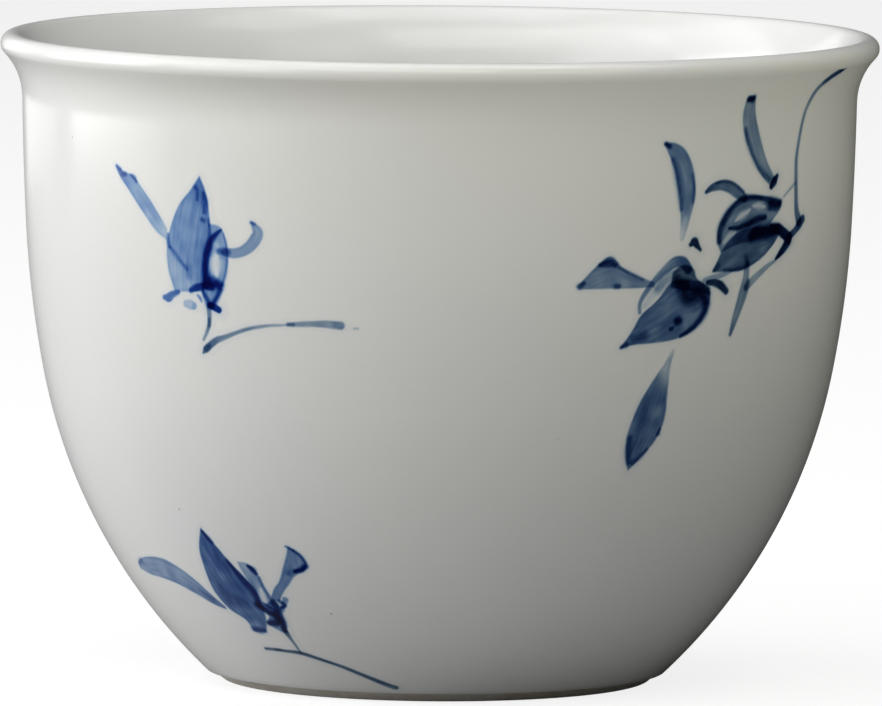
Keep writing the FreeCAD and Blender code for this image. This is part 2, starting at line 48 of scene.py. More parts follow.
# ---- The section of the cup ----
# A facing is the direction in degrees that the glaze looks at:
# 0 outwards, 90 up, 180 towards the axis.  Each stretch is (radius, facing where it ends,
# +1 where it bulges out of the clay or -1 where it is hollow).
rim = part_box("glaze_coat")[1]
LIP_ARC = 1.0
LIP_CENTRE = np.array([rim.x / MM - LIP_ARC, rim.z / MM - LIP_ARC])
GLAZE_DEPTH = 0.3
UNDERSIDE_FACING = -44.1
FLARE_FACING = 140.0
OUTSIDE = [(5.8, -1.05, -1), (343.0, -2.83, 1), (92.0, -11.0, 1), (49.0, -46.4, 1)]
INSIDE = [(9.2, 179.0, 1), (300.0, 177.2, -1), (90.0, 168.5, -1), (47.0, 147.0, -1),
          (14.5, 90.0, -1)]
FOOT_OUTER = 18.5
FOOT_INNER = 17.0
RECESS_RADIUS = 16.2
FOOT_ROUNDING = 0.22

# Spacing of points along the section, and their number in one turn about the axis.
FINE_STEP = 0.55
COARSE_STEP = 3.0
FINE_LIP_STEP = 0.12
COARSE_LIP_STEP = 0.4
WALL_STEP = 0.05
FEWEST_STEPS = 3
TURNS = 320
ON_AXIS = 1e-6
CREASE = math.radians(35)


def towards(facing):
    """The direction in the section that a facing stands for."""
    angle = np.radians(facing)
    return np.array([np.cos(angle), np.sin(angle)])


def arc_stations(centre, radius, start, end, bulge, step):
    """Points along one round stretch, each with the facing of the surface there."""
    length = radius * abs(math.radians(end - start))
    count = max(FEWEST_STEPS, int(math.ceil(length / step)))
    facings = np.linspace(start, end, count + 1)
    return [(centre + towards(f) * radius * bulge, f) for f in facings]


def skin(depth, stretches, start_facing, step):
    """A run of stations from the lip, at one depth under the glaze's surface."""
    point = LIP_CENTRE + towards(start_facing) * (LIP_ARC - depth)
    facing = start_facing
    stations = []
    for radius, end_facing, bulge in stretches:
        radius = radius - bulge * depth
        centre = point - towards(facing) * radius * bulge
        stretch = arc_stations(centre, radius, facing, end_facing, bulge, step)
        stations += stretch[1:]
        point = stretch[-1][0]
        facing = end_facing
    return stations


def lip(depth, step):
    """Stations over the top of the wall, from its outer to its inner side."""
    return arc_stations(LIP_CENTRE, LIP_ARC - depth, UNDERSIDE_FACING, FLARE_FACING, 1, step)


def whole_skin(depth, step, lip_step):
    """Stations from the foot line, up the outside, over the lip and down to the floor."""
    outside = skin(depth, OUTSIDE, UNDERSIDE_FACING, step)
    inside = skin(depth, INSIDE, FLARE_FACING, step)
    return outside[::-1] + lip(depth, lip_step) + inside


GLAZE_SKIN = whole_skin(0.0, FINE_STEP, FINE_LIP_STEP)
CLAY_SKIN = whole_skin(GLAZE_DEPTH, COARSE_STEP, COARSE_LIP_STEP)

# The painted outer wall as height -> radius and facing, for laying brushwork on it.
WALL = skin(0.0, OUTSIDE, UNDERSIDE_FACING, WALL_STEP)[::-1]
WALL_RADIUS, WALL_HEIGHT = np.array([point for point, facing in WALL]).T
WALL_FACING = np.array([facing for point, facing in WALL])


def round_corner(before, corner, after, radius, count=5):
    """Points of a small rounding in place of a corner of a section."""
    to_before = (before - corner) / np.linalg.norm(before - corner)
    to_after = (after - corner) / np.linalg.norm(after - corner)
    points = []
    for t in np.linspace(0, 1, count):
        a = corner + to_before * radius * (1 - t)
        b = corner + to_after * radius * t
        points.append(a * (1 - t) + b * t)
    return points


def new_piece(name, points, faces, node):
    """A mesh in the frame's metres that rides on the cup and stands for a CAD node."""
    mesh = bpy.data.meshes.new(name)
    mesh.from_pydata((np.asarray(points) * MM).tolist(), [], faces)
    mesh.shade_smooth()
    mesh.set_sharp_from_angle(angle=CREASE)
    mesh.validate()
    piece = bpy.data.objects.new(name, mesh)
    bpy.context.scene.collection.objects.link(piece)
    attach(piece, "root")
    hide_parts(node)
    return piece


def turned(name, section, node):
    """A solid turned about the axis from a section that starts and ends on it, or closes."""
    angles = np.linspace(0, 2 * math.pi, TURNS, endpoint=False)
    points = []
    rings = []
    for radius, height in section:
        if radius < ON_AXIS:
            rings.append([len(points)] * TURNS)
            points.append((0.0, 0.0, height))
        else:
            rings.append(list(range(len(points), len(points) + TURNS)))
            points += [(radius * math.cos(a), radius * math.sin(a), height) for a in angles]
    if section[0][0] > ON_AXIS:
        rings.append(rings[0])
    faces = []
    for lower, upper in zip(rings, rings[1:]):
        for i in range(TURNS):
            j = (i + 1) % TURNS
            corners = tuple(dict.fromkeys((lower[i], lower[j], upper[j], upper[i])))
            if len(corners) > 2:
                faces.append(corners)
    return new_piece(name, points, faces, node)


# ---- Clay, glaze and the glaze island inside the foot ----
def glaze_section():
    """The glaze from foot line to floor, back along the clay, and round its end bead."""
    surface = [point for point, facing in GLAZE_SKIN]
    buried = [point for point, facing in CLAY_SKIN][::-1]
    middle = (surface[0] + buried[-1]) / 2
    across = (buried[-1] - surface[0]) / 2
    down = np.array([-across[1], across[0]])
    bead = [middle + across * math.cos(a) + down * math.sin(a)
            for a in np.linspace(0, math.pi, 7)]
    floor = [np.array([0.0, surface[-1][1]])]
    under_floor = [np.array([0.0, buried[0][1]])]
    return surface + floor + under_floor + buried[:-1] + bead[:-1]


def clay_section():
    """The clay under the glaze, with the bare foot ring and the recess inside it."""
    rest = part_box("porcelain_body")[0].z / MM
    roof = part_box("foot_recess_glaze")[1].z / MM
    skin_points = [point for point, facing in CLAY_SKIN]
    corners = [skin_points[0], np.array([FOOT_OUTER, rest]), np.array([FOOT_INNER, rest]),
               np.array([RECESS_RADIUS, roof]), np.array([0.0, roof])]
    foot = []
    for before, corner, after in zip(corners, corners[1:], corners[2:]):
        foot += round_corner(before, corner, after, FOOT_ROUNDING)
    return [corners[-1]] + foot[::-1] + skin_points + [np.array([0.0, skin_points[-1][1]])]


def recess_section():
    """The island of glaze on the recess's roof, with a rounded, slightly thicker edge."""
    low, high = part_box("foot_recess_glaze")
    radius = high.x / MM
    roof = high.z / MM
    under = low.z / MM
    edge = [(radius - 0.9, under + 0.04), (radius - 0.55, under), (radius - 0.25, under + 0.03),
            (radius - 0.07, under + 0.11), (radius, roof - 0.08), (radius - 0.02, roof)]
    return [(0.0, under + 0.05), (radius * 0.5, under + 0.05)] + edge + [(0.0, roof)]


clay = turned("clay", clay_section(), "porcelain_body")
glaze = turned("glaze", glaze_section(), "glaze_coat")
recess = turned("recess_glaze", recess_section(), "foot_recess_glaze")

# ---- The brushwork ----
# Motifs are drawn flat, in millimetres, on a plane that touches the glaze,
# and laid on the cup along the plane's normal.  A stroke's wash is how much cobalt it
# carries: 0.5 is pale, 1 a clear blue, 2.5 and more nearly black.
def petal(one_edge, other_edge, wash, tip=0.0, root=0.0, side=0.0, pool=0.25, grey=None):
    """A filled petal between two edges.  tip and root add cobalt at the last and first
    points, side shifts it towards the other edge, pool darkens the rim, and grey, from 0
    to 1, is how dull the blue is where it differs from the rest of its motif."""
    return dict(kind="petal", edges=(one_edge, other_edge), wash=wash, tip=tip, root=root,
                side=side, pool=pool, grey=grey)


def line(points, wash, tip=0.0, root=0.0, side=0.0, pool=0.15, grey=None):
    """A brush line through (x, y, half width), with the other values as in a petal."""
    return dict(kind="line", points=points, wash=wash, tip=tip, root=root, side=side,
                pool=pool, grey=grey)


def shade(points, wash, grey=None):
    """Cobalt that has gathered inside a stroke, with soft sides."""
    return dict(kind="shade", points=points, wash=wash, grey=grey)


def window(points, clear=1.0):
    """Glaze left open, or partly open, inside a petal."""
    return dict(kind="window", points=points, wash=clear)


PAIRED_BLOSSOM = [
    petal([(-4.4, 0.4), (-5.6, 1.1), (-7.2, 2.7), (-8.7, 4.3), (-9.9, 5.5), (-10.4, 6.3)],
          [(-4.4, 1.3), (-5.2, 2.4), (-6.4, 3.8), (-7.4, 4.8), (-8.3, 5.6), (-9.4, 5.85),
           (-10.4, 6.3)], 0.66, tip=0.35, root=-0.25),
    shade([(-10.25, 6.3, 0.12), (-9.8, 6.0, 0.15)], 1.0),
    shade([(-9.55, 5.65, 0.2), (-9.2, 5.65, 0.18)], 1.0),
    shade([(-8.5, 5.65, 0.1), (-8.1, 5.45, 0.16), (-7.85, 5.15, 0.14)], 1.0),
    petal([(-3.7, -4.0), (-4.3, -2.1), (-4.4, -0.3), (-3.9, 1.6), (-3.0, 3.4), (-1.8, 4.7),
           (-0.8, 6.0)],
          [(-0.6, -3.8), (0.0, -1.5), (0.4, 0.5), (0.2, 2.2), (0.0, 4.0), (-0.35, 5.1),
           (-0.8, 6.0)], 0.78, tip=0.2, root=-0.15, side=0.2),
    shade([(-0.4, 4.6, 0.15), (-0.25, 3.8, 0.26), (-0.3, 3.0, 0.2)], 1.0),
    shade([(-1.2, 5.05, 0.18), (-1.0, 4.7, 0.15), (-1.05, 4.0, 0.1)], 0.8),
    shade([(-0.58, 2.35, 0.17), (-0.4, 2.25, 0.17)], 0.9),
    shade([(0.05, 2.4, 0.1), (0.12, 1.9, 0.1)], 0.6),
    shade([(-4.25, 0.9, 0.1), (-4.25, 0.3, 0.18), (-4.1, -0.2, 0.15)], 0.8),
    shade([(-4.1, -0.2, 0.12), (-3.5, -0.8, 0.2), (-2.9, -1.4, 0.16), (-2.3, -2.0, 0.14)], 0.65),
    shade([(-2.1, -1.9, 0.35), (-2.05, -2.6, 0.3)], 0.35),
    petal([(-0.2, -4.9), (-0.6, -3.0), (-0.6, -1.5), (-0.1, 0.5), (0.1, 2.0)],
          [(0.3, -4.9), (0.9, -4.1), (1.5, -2.8), (1.9, -1.2), (1.8, 0.5), (1.3, 1.7),
           (0.1, 2.0)], 0.62),
    window([(0.75, -2.5, 0.2), (0.75, -1.7, 0.55), (0.75, -1.1, 0.6), (0.8, -0.75, 0.35)], 0.85),
    window([(0.7, 0.35, 0.25), (0.95, 0.1, 0.25)], 0.45),
    shade([(1.3, 1.5, 0.1), (0.9, 1.2, 0.16), (0.4, 0.7, 0.24), (0.0, 0.0, 0.3),
           (-0.3, -0.9, 0.26), (-0.35, -2.0, 0.3), (-0.25, -3.0, 0.4)], 2.3),
    shade([(1.5, 1.3, 0.07), (1.8, 0.4, 0.1), (1.9, -0.8, 0.1), (1.75, -2.0, 0.12),
           (1.4, -3.0, 0.15)], 0.5),
    shade([(1.1, -0.3, 0.22), (1.6, -0.3, 0.28), (2.0, -0.35, 0.22)], 1.1),
    line([(1.7, -0.35, 0.35), (2.6, -0.4, 0.4), (3.4, -0.2, 0.42), (4.1, 0.25, 0.47),
          (4.65, 0.9, 0.5), (4.85, 1.5, 0.45), (4.35, 2.25, 0.12)], 0.58, pool=0.22, grey=0.3),
    shade([(4.25, 2.3, 0.12), (4.55, 2.15, 0.14)], 0.8),
    shade([(-0.5, -3.3, 0.25), (0.1, -3.1, 0.42), (0.7, -3.15, 0.4), (1.1, -3.2, 0.28)], 2.5),
    line([(-1.95, -3.8, 0.2), (-1.4, -3.55, 0.28), (-0.7, -3.4, 0.28), (0.2, -3.4, 0.3)], 1.5),
    shade([(1.1, -3.6, 0.2), (0.7, -4.3, 0.2), (0.2, -5.0, 0.22)], 1.9),
    shade([(-0.7, -3.8, 0.15), (-0.4, -4.4, 0.2), (-0.1, -5.0, 0.25)], 1.8),
    line([(0.0, -5.0, 0.25), (0.45, -5.15, 0.28), (0.85, -5.35, 0.25)], 2.6),
    line([(-3.3, -4.05, 0.15), (-4.0, -4.3, 0.28), (-4.45, -4.6, 0.36), (-4.9, -4.6, 0.2)], 1.0),
    line([(-2.5, -5.0, 0.3), (-2.1, -5.05, 0.4), (-1.75, -5.15, 0.3)], 0.28, tip=0.25),
    line([(-1.25, -4.2, 0.08), (-1.0, -4.45, 0.12), (-0.9, -4.7, 0.06)], 0.8),
]
PAIRED_STEM = [
    line([(-0.15, -5.0, 0.22), (-0.15, -6.0, 0.2), (-0.25, -6.7, 0.18), (-0.55, -7.4, 0.13),
          (-0.9, -8.0, 0.1)], 0.8, tip=-0.25),
    shade([(-0.2, -6.2, 0.12), (-0.25, -6.8, 0.12)], 0.7),
    line([(-1.05, -9.15, 0.08), (-0.7, -8.8, 0.28), (-0.2, -8.4, 0.27), (0.5, -7.95, 0.24),
          (1.5, -7.6, 0.18), (3.3, -6.95, 0.13), (5.2, -6.55, 0.1), (7.1, -6.4, 0.06)], 0.85,
         root=0.5, tip=-0.4),
    shade([(-0.75, -8.8, 0.2), (-0.35, -8.5, 0.15)], 0.7),
    line([(7.3, -6.35, 0.14), (8.4, -6.3, 0.2), (9.5, -6.25, 0.23), (10.6, -6.25, 0.29),
          (11.8, -6.35, 0.33)], 0.62),
    shade([(7.35, -6.37, 0.12), (7.8, -6.35, 0.14)], 0.6),
    shade([(11.4, -6.3, 0.25), (11.85, -6.4, 0.25)], 0.3),
    line([(12.9, -6.6, 0.05), (13.2, -6.6, 0.05)], 0.3),
]
SPREAD_BLOSSOM = [
    petal([(-3.4, -3.8), (-4.9, -3.35), (-6.5, -2.65), (-8.5, -2.1), (-10.5, -2.05),
           (-12.4, -2.3), (-14.0, -2.3)],
          [(-3.4, -3.5), (-4.5, -2.4), (-5.8, -1.1), (-7.3, -0.15), (-9.2, 0.35),
           (-11.2, 0.0), (-13.0, -0.8), (-14.0, -1.7)], 0.78, root=0.25),
    shade([(-13.6, -1.5, 0.2), (-13.1, -1.05, 0.25)], 0.5),
    shade([(-5.7, -2.3, 0.3), (-4.6, -2.9, 0.3)], 0.4),
    petal([(-1.3, -6.0), (-1.6, -4.7), (-3.0, -3.6), (-3.9, -1.8), (-4.0, 0.5),
           (-3.8, 2.6), (-2.9, 4.8)],
          [(0.0, -6.0), (0.6, -4.6), (0.9, -3.0), (0.9, -1.3), (0.1, 0.2), (-0.8, 1.6),
           (-2.0, 3.5), (-2.9, 4.8)], 1.38, root=-0.35, side=0.1),
    shade([(-2.85, 4.5, 0.12), (-2.4, 3.9, 0.2), (-2.1, 3.5, 0.16)], 1.5),
    shade([(-1.1, 1.8, 0.1), (-0.7, 1.1, 0.16), (-0.3, 0.3, 0.26), (0.2, -0.5, 0.34),
           (0.6, -1.2, 0.28), (0.7, -2.0, 0.25), (0.7, -2.8, 0.3)], 1.5),
    shade([(-2.9, -1.4, 0.6), (-2.2, -2.4, 0.7), (-1.0, -2.9, 0.6)], 0.55),
    shade([(-1.15, -5.7, 0.25), (-0.6, -5.8, 0.3), (-0.1, -5.75, 0.2)], 1.5),
    petal([(1.0, -3.2), (0.9, -2.0), (0.7, -0.5), (0.2, 0.9), (0.1, 1.7)],
          [(2.2, -3.2), (2.15, -2.0), (1.95, -0.8), (1.8, 0.3), (1.2, 1.5), (0.1, 1.7)], 0.65,
          tip=-0.25),
    window([(1.4, -2.75, 0.2), (1.4, -2.2, 0.32), (1.45, -1.6, 0.36), (1.5, -1.1, 0.2)], 0.8),
    shade([(1.05, 1.35, 0.12), (1.4, 1.0, 0.24), (1.6, 0.6, 0.16)], 2.6),
    shade([(1.8, 0.2, 0.13), (1.85, -0.8, 0.15), (2.05, -1.8, 0.2)], 0.6),
    petal([(1.9, -5.9), (0.7, -4.9), (1.2, -4.0), (0.5, -3.1)],
          [(2.3, -5.9), (2.6, -4.3), (2.7, -2.8), (2.2, -2.3)], 0.9),
    shade([(0.45, -2.85, 0.26), (1.0, -3.35, 0.25), (1.7, -3.8, 0.28)], 2.5, grey=0.6),
    shade([(2.3, -2.4, 0.25), (2.35, -3.1, 0.25), (2.1, -4.0, 0.4)], 2.1, grey=0.6),
    shade([(0.85, -4.85, 0.22), (1.6, -4.75, 0.36), (2.2, -4.6, 0.34), (2.1, -5.5, 0.2)], 2.5,
          grey=0.6),
    shade([(2.9, -2.3, 0.16), (3.3, -2.75, 0.14), (2.85, -3.05, 0.12)], 1.6, grey=0.5),
    shade([(1.2, -2.6, 0.1), (1.7, -3.1, 0.14), (2.2, -3.5, 0.12)], 1.2, grey=0.5),
    petal([(2.0, -2.3), (2.9, -1.0), (3.7, -0.2), (4.5, 1.1), (5.3, 2.5), (5.7, 3.4)],
          [(3.0, -2.2), (3.6, -1.4), (4.5, -0.5), (5.4, 0.4), (6.4, 0.85), (6.9, 1.5),
           (6.6, 2.5), (5.7, 3.4)], 0.85),
    shade([(5.6, 0.85, 0.15), (6.2, 1.0, 0.2), (6.75, 1.35, 0.2)], 2.4),
    shade([(6.85, 1.7, 0.12), (6.6, 2.4, 0.14), (6.1, 3.0, 0.12)], 1.1),
    shade([(5.5, 3.4, 0.1), (5.8, 3.2, 0.12), (6.05, 3.0, 0.1)], 1.1),
    shade([(4.9, 0.6, 0.2), (5.5, 0.9, 0.25)], 0.7),
    line([(2.8, -3.3, 0.2), (3.2, -2.7, 0.22), (3.6, -2.1, 0.24)], 0.8),
]
SPREAD_STEM = [
    line([(2.15, -5.8, 0.26), (2.3, -6.6, 0.16), (2.45, -7.4, 0.11), (2.55, -8.2, 0.1)], 0.75,
         root=0.5, tip=-0.2),
    line([(-1.0, -8.0, 0.12), (0.0, -8.0, 0.16), (1.2, -8.1, 0.15), (2.6, -8.3, 0.2),
          (4.3, -9.1, 0.16), (5.8, -10.0, 0.16), (7.1, -11.1, 0.18), (8.8, -12.8, 0.24),
          (9.15, -13.1, 0.24)], 1.4),
    shade([(0.0, -8.0, 0.12), (0.5, -7.98, 0.12)], 0.7),
]
NEAR_BLOSSOM = [
    petal([(-6.9, -1.1), (-9.0, -1.15), (-11.5, -1.15), (-13.7, -1.2)],
          [(-6.9, -0.75), (-8.6, -0.15), (-10.0, 0.6), (-11.1, 1.55), (-12.1, 0.9),
           (-13.2, -0.25), (-13.8, -1.0)], 0.9, side=0.15),
    shade([(-12.0, 0.85, 0.15), (-11.2, 1.05, 0.32), (-10.65, 0.85, 0.22)], 1.9),
    shade([(-13.6, -0.95, 0.22), (-13.3, -0.7, 0.15)], 1.3),
    shade([(-10.5, -0.98, 0.18), (-10.25, -0.98, 0.18)], 1.3),
    shade([(-10.3, 0.6, 0.14), (-9.2, 0.1, 0.14), (-8.0, -0.45, 0.12)], 0.8),
    petal([(-4.5, 2.8), (-4.55, 5.0), (-4.9, 7.2), (-5.5, 9.3), (-6.4, 11.1)],
          [(-4.2, 2.8), (-3.6, 4.6), (-3.1, 6.8), (-3.4, 8.8), (-4.2, 10.4), (-5.3, 11.1),
           (-6.4, 11.1)], 1.0, root=-0.85, grey=0.6),
    shade([(-6.25, 11.08, 0.16), (-5.9, 10.9, 0.18)], 2.2),
    shade([(-5.5, 9.7, 0.2), (-5.0, 8.2, 0.28), (-4.7, 6.8, 0.26), (-4.5, 5.5, 0.2)], 0.8),
    shade([(-3.45, 8.4, 0.1), (-3.25, 7.2, 0.12), (-3.3, 6.0, 0.12)], 0.45),
    line([(-3.4, 2.4, 0.15), (-3.0, 2.6, 0.36), (-2.65, 2.25, 0.22), (-2.3, 1.9, 0.1)], 2.4,
         grey=0.9),
    line([(-8.1, -3.3, 0.12), (-8.15, -2.5, 0.15), (-7.7, -1.6, 0.2), (-6.8, -0.5, 0.25),
          (-5.7, 0.5, 0.35), (-4.9, 0.95, 0.45), (-4.1, 0.9, 0.45), (-3.5, 0.3, 0.4)], 0.85,
         tip=0.8),
    shade([(-7.7, -2.7, 0.25), (-7.0, -1.8, 0.4), (-6.2, -0.9, 0.5)], 0.18),
    shade([(-6.5, -1.3, 0.35), (-5.9, -0.6, 0.5), (-5.2, 0.0, 0.5)], 0.55),
    petal([(-0.9, -1.8), (-2.0, -0.9), (-4.0, -0.6), (-5.2, -0.8), (-6.4, -2.2),
           (-7.9, -3.5), (-8.6, -4.8), (-9.6, -6.35)],
          [(-0.9, -1.8), (-1.1, -3.2), (-2.2, -4.7), (-4.0, -5.6), (-6.2, -5.9),
           (-8.4, -6.05), (-9.6, -6.35)], 1.2),
    shade([(-9.5, -6.25, 0.14), (-9.1, -6.05, 0.2)], 1.6),
    shade([(-8.4, -5.5, 0.35), (-7.5, -5.3, 0.4)], 0.8),
    shade([(-3.8, -5.45, 0.14), (-2.9, -5.0, 0.2), (-2.1, -4.4, 0.25), (-1.5, -3.6, 0.3),
           (-1.3, -2.8, 0.34)], 2.0),
    shade([(-4.3, -4.15, 0.28), (-4.15, -4.1, 0.28)], 3.0),
    shade([(-4.9, -4.8, 0.15), (-4.75, -4.78, 0.15)], 2.2),
    petal([(-5.2, -0.9), (-5.0, 0.1), (-4.0, 0.65), (-3.0, 0.3), (-2.5, -0.6), (-1.0, -1.4)],
          [(-5.2, -1.2), (-3.0, -1.6), (-1.0, -2.0)], 1.35, grey=0.95),
    shade([(-4.6, -0.6, 0.35), (-3.9, -1.3, 0.6), (-3.4, -2.2, 0.55), (-2.4, -1.9, 0.65),
           (-1.7, -2.1, 0.5)], 2.0, grey=0.95),
    line([(-1.3, -0.95, 0.2), (-0.5, -1.0, 0.28), (0.2, -1.25, 0.33), (0.9, -1.8, 0.26)], 2.3,
         grey=0.9),
    line([(-1.7, -0.75, 0.2), (-0.7, -0.55, 0.25), (0.4, -0.35, 0.2), (1.4, -0.1, 0.12)], 0.5),
    petal([(-4.5, -6.6), (-5.2, -7.9), (-6.3, -9.6), (-7.2, -11.5), (-7.75, -13.9),
           (-7.5, -15.8), (-7.0, -17.1)],
          [(-4.3, -6.6), (-4.55, -8.3), (-4.5, -10.5), (-4.4, -12.6), (-4.9, -14.4),
           (-5.9, -15.8), (-7.0, -17.1)], 1.2, root=-1.1),
    shade([(-7.5, -14.2, 0.22), (-7.4, -15.3, 0.28), (-7.1, -16.4, 0.22)], 0.9),
    shade([(-4.75, -13.95, 0.17), (-4.65, -13.5, 0.1)], 1.2),
    shade([(-5.6, -15.3, 0.15), (-6.1, -15.9, 0.2), (-6.7, -16.4, 0.22)], 0.9),
    shade([(-6.6, -11.8, 0.5), (-6.7, -14.5, 0.5)], 0.4),
]
FAR_BLOSSOM = [
    petal([(6.1, 6.9), (4.6, 8.1), (3.2, 10.0), (2.3, 12.0), (2.15, 13.4), (2.3, 14.9)],
          [(6.6, 7.5), (5.4, 9.1), (4.4, 11.2), (3.7, 13.2), (3.3, 14.9)], 0.8),
    shade([(2.55, 14.6, 0.2), (3.0, 14.6, 0.24)], 3.4),
    shade([(2.5, 12.0, 0.2), (2.9, 10.8, 0.24), (3.8, 9.3, 0.24), (4.8, 8.2, 0.24),
           (5.8, 7.5, 0.24)], 0.9),
    line([(6.15, 6.9, 0.25), (6.5, 7.3, 0.36), (6.9, 7.75, 0.15)], 3.2),
    line([(-1.9, 6.85, 0.14), (-1.2, 7.2, 0.3), (-0.2, 7.35, 0.42), (0.8, 7.15, 0.5),
          (1.7, 6.65, 0.5), (2.6, 6.1, 0.38)], 1.15, root=0.6),
    shade([(-0.8, 7.55, 0.1), (0.3, 7.65, 0.12), (1.4, 7.35, 0.12), (2.5, 6.65, 0.12)], 0.8),
    petal([(0.0, 1.6), (-0.5, 2.8), (-0.3, 3.9), (0.6, 5.1), (1.8, 6.0), (3.2, 6.3),
           (5.2, 6.1), (7.7, 5.6)],
          [(0.0, 1.6), (2.0, 2.2), (3.6, 2.4), (5.4, 3.2), (6.6, 4.1), (7.5, 4.9),
           (7.7, 5.6)], 1.0),
    window([(1.6, 4.2, 0.1), (2.3, 4.6, 0.3), (3.0, 4.9, 0.24), (3.4, 5.1, 0.1)], 0.75),
    window([(3.8, 5.35, 0.15), (4.5, 5.35, 0.32), (5.3, 5.2, 0.12)], 0.7),
    window([(0.3, 2.4, 0.14), (0.9, 2.85, 0.3), (1.6, 3.2, 0.14)], 0.6),
    shade([(-0.25, 2.5, 0.2), (-0.1, 3.7, 0.28), (0.6, 4.8, 0.28), (1.5, 5.55, 0.25),
           (2.6, 6.05, 0.25), (3.9, 6.08, 0.2), (5.2, 5.9, 0.18), (6.4, 5.6, 0.3),
           (7.4, 5.4, 0.25)], 2.0),
    shade([(6.1, 5.2, 0.35), (6.9, 5.1, 0.3), (7.3, 5.25, 0.25)], 2.0),
    shade([(0.9, 3.6, 0.1), (2.0, 3.6, 0.18), (3.2, 3.85, 0.24), (4.4, 4.2, 0.25),
           (5.4, 4.3, 0.2)], 2.6),
    line([(6.3, 3.3, 0.35), (7.3, 3.2, 0.4), (8.2, 2.7, 0.45), (9.0, 2.25, 0.45)], 3.2),
    line([(7.2, 0.6, 0.12), (7.7, 0.95, 0.25), (8.3, 1.4, 0.35), (8.9, 2.0, 0.45)], 3.0),
    petal([(-0.85, -0.05), (-0.3, 0.9), (0.4, 2.0), (1.6, 3.0), (3.4, 3.5), (5.4, 3.4),
           (7.4, 3.0)],
          [(-0.85, -0.05), (0.8, -0.1), (2.4, -0.1), (3.8, 0.25), (5.3, 0.9), (6.6, 1.8),
           (7.4, 2.6)], 1.4),
    shade([(3.7, 2.7, 0.34), (4.4, 3.0, 0.5), (5.3, 3.0, 0.5), (6.3, 3.1, 0.45),
           (7.2, 3.1, 0.35)], 3.4),
    shade([(-0.65, 0.1, 0.15), (-0.2, 0.5, 0.2)], 0.9),
    shade([(0.5, 0.05, 0.12), (2.0, 0.02, 0.14), (3.2, 0.2, 0.2)], 0.9),
    shade([(3.1, 1.0, 0.22), (3.4, 0.4, 0.2)], 0.6),
    line([(7.0, 0.4, 0.12), (6.2, 0.1, 0.2), (5.2, -0.4, 0.27), (4.2, -1.0, 0.32),
          (3.4, -1.6, 0.3)], 0.6),
    line([(3.3, 0.4, 0.3), (3.25, -0.6, 0.35), (3.2, -1.4, 0.5), (2.9, -2.5, 0.5),
          (2.5, -3.6, 0.4), (2.15, -4.6, 0.3), (1.85, -5.6, 0.15)], 0.8, tip=0.3),
    shade([(3.5, -1.2, 0.25), (3.3, -1.6, 0.3)], 0.7),
]
RIM_STEM = [
    line([(9.0, 2.3, 0.3), (10.0, 2.85, 0.3), (10.6, 3.35, 0.42), (11.1, 3.7, 0.35)], 2.2,
         root=0.8, tip=-0.6),
    line([(10.5, 3.6, 0.45), (10.1, 4.4, 0.32), (9.9, 5.5, 0.25), (9.75, 8.0, 0.22),
          (9.8, 9.5, 0.2), (10.6, 12.2, 0.18), (11.9, 14.4, 0.22), (12.8, 15.2, 0.25),
          (14.0, 15.85, 0.3), (15.4, 16.35, 0.3), (16.2, 16.6, 0.15)], 0.72, root=0.5,
         tip=0.7),
    shade([(13.1, 15.4, 0.2), (14.2, 15.9, 0.22), (15.6, 16.4, 0.2)], 0.7),
    line([(8.0, 5.9, 0.08), (8.8, 6.4, 0.1), (9.7, 6.95, 0.12)], 0.4),
]

# Each place: azimuth from the front towards +X, radius and height of the touching point,
# and lean of its plane.
PLACES = {
    "upper_left": (-33.0, 35.89, 40.0, 3.0),
    "lower_left": (-36.0, 28.17, 11.0, 29.0),
    "right": (42.0, 35.77, 38.0, 3.0),
    "back_upper": (165.0, 35.77, 38.0, 3.0),
    "back_lower": (-122.0, 28.17, 11.0, 29.0),
}
# The motifs at each place, with the end of the node's name, the strokes, and how grey
# their blue is.
BRUSHWORK = {
    "upper_left": [("blossom", PAIRED_BLOSSOM, 0.0), ("stem", PAIRED_STEM, 0.75)],
    "lower_left": [("blossom", SPREAD_BLOSSOM, 0.4), ("stem", SPREAD_STEM, 0.95)],
    "right": [("near_blossom", NEAR_BLOSSOM, 0.65), ("far_blossom", FAR_BLOSSOM, 0.8),
              ("rim_stem", RIM_STEM, 0.8)],
    "back_upper": [("blossom", PAIRED_BLOSSOM, 0.1), ("stem", PAIRED_STEM, 0.75)],
    "back_lower": [("blossom", SPREAD_BLOSSOM, 0.4), ("stem", SPREAD_STEM, 0.95)],
}

# The grid that a place's cobalt is worked out on: its cell, the room round all strokes and
# round each, how closely strokes are sampled, the least half width that they are given,
# and the size of the tables of random values.
CELL = 0.075
MARGIN = 1.2
STROKE_ROOM = 1.0
SHORT_STEP = 0.05
PATH_STEP = 0.06
EDGE_POINTS = 48
THINNEST_LINE = 0.02
THINNEST_SHADE = 0.05
GRAIN_TABLE = 64
# How unevenly a stroke is laid: the length and width of its long and short streaks, the
# size of its patches, and how strong each is.
LONG_STREAK = (2.2, 0.17)
SHORT_STREAK = (0.9, 0.4)
SHADE_STREAK = (0.4, 0.16)
PATCH_SIZE = 1.1
STREAKS = 0.26
PATCHES = 0.16
SHADE_STREAKS = 0.25
# How wide its darker rim is, where its two ends begin, and how little it can carry.
RIM_WIDTH = 0.1
TIP_FROM = 0.62
ROOT_TO = 0.42
LEAST_WASH = 0.05
# The soft fall of a shade or a window: its reach in half widths, and how sudden it is.
FALL_REACH = 1.15
FALL_POWER = 2.4
# Half the width of a stroke's soft edge, how much and how often that wavers, and the faint
# blue round it: its share of the stroke's cobalt and how far it reaches.
BLEED = 0.12
WAVER = 0.35
WAVER_SIZE = 0.5
HALO = 0.05
HALO_REACH = 0.3
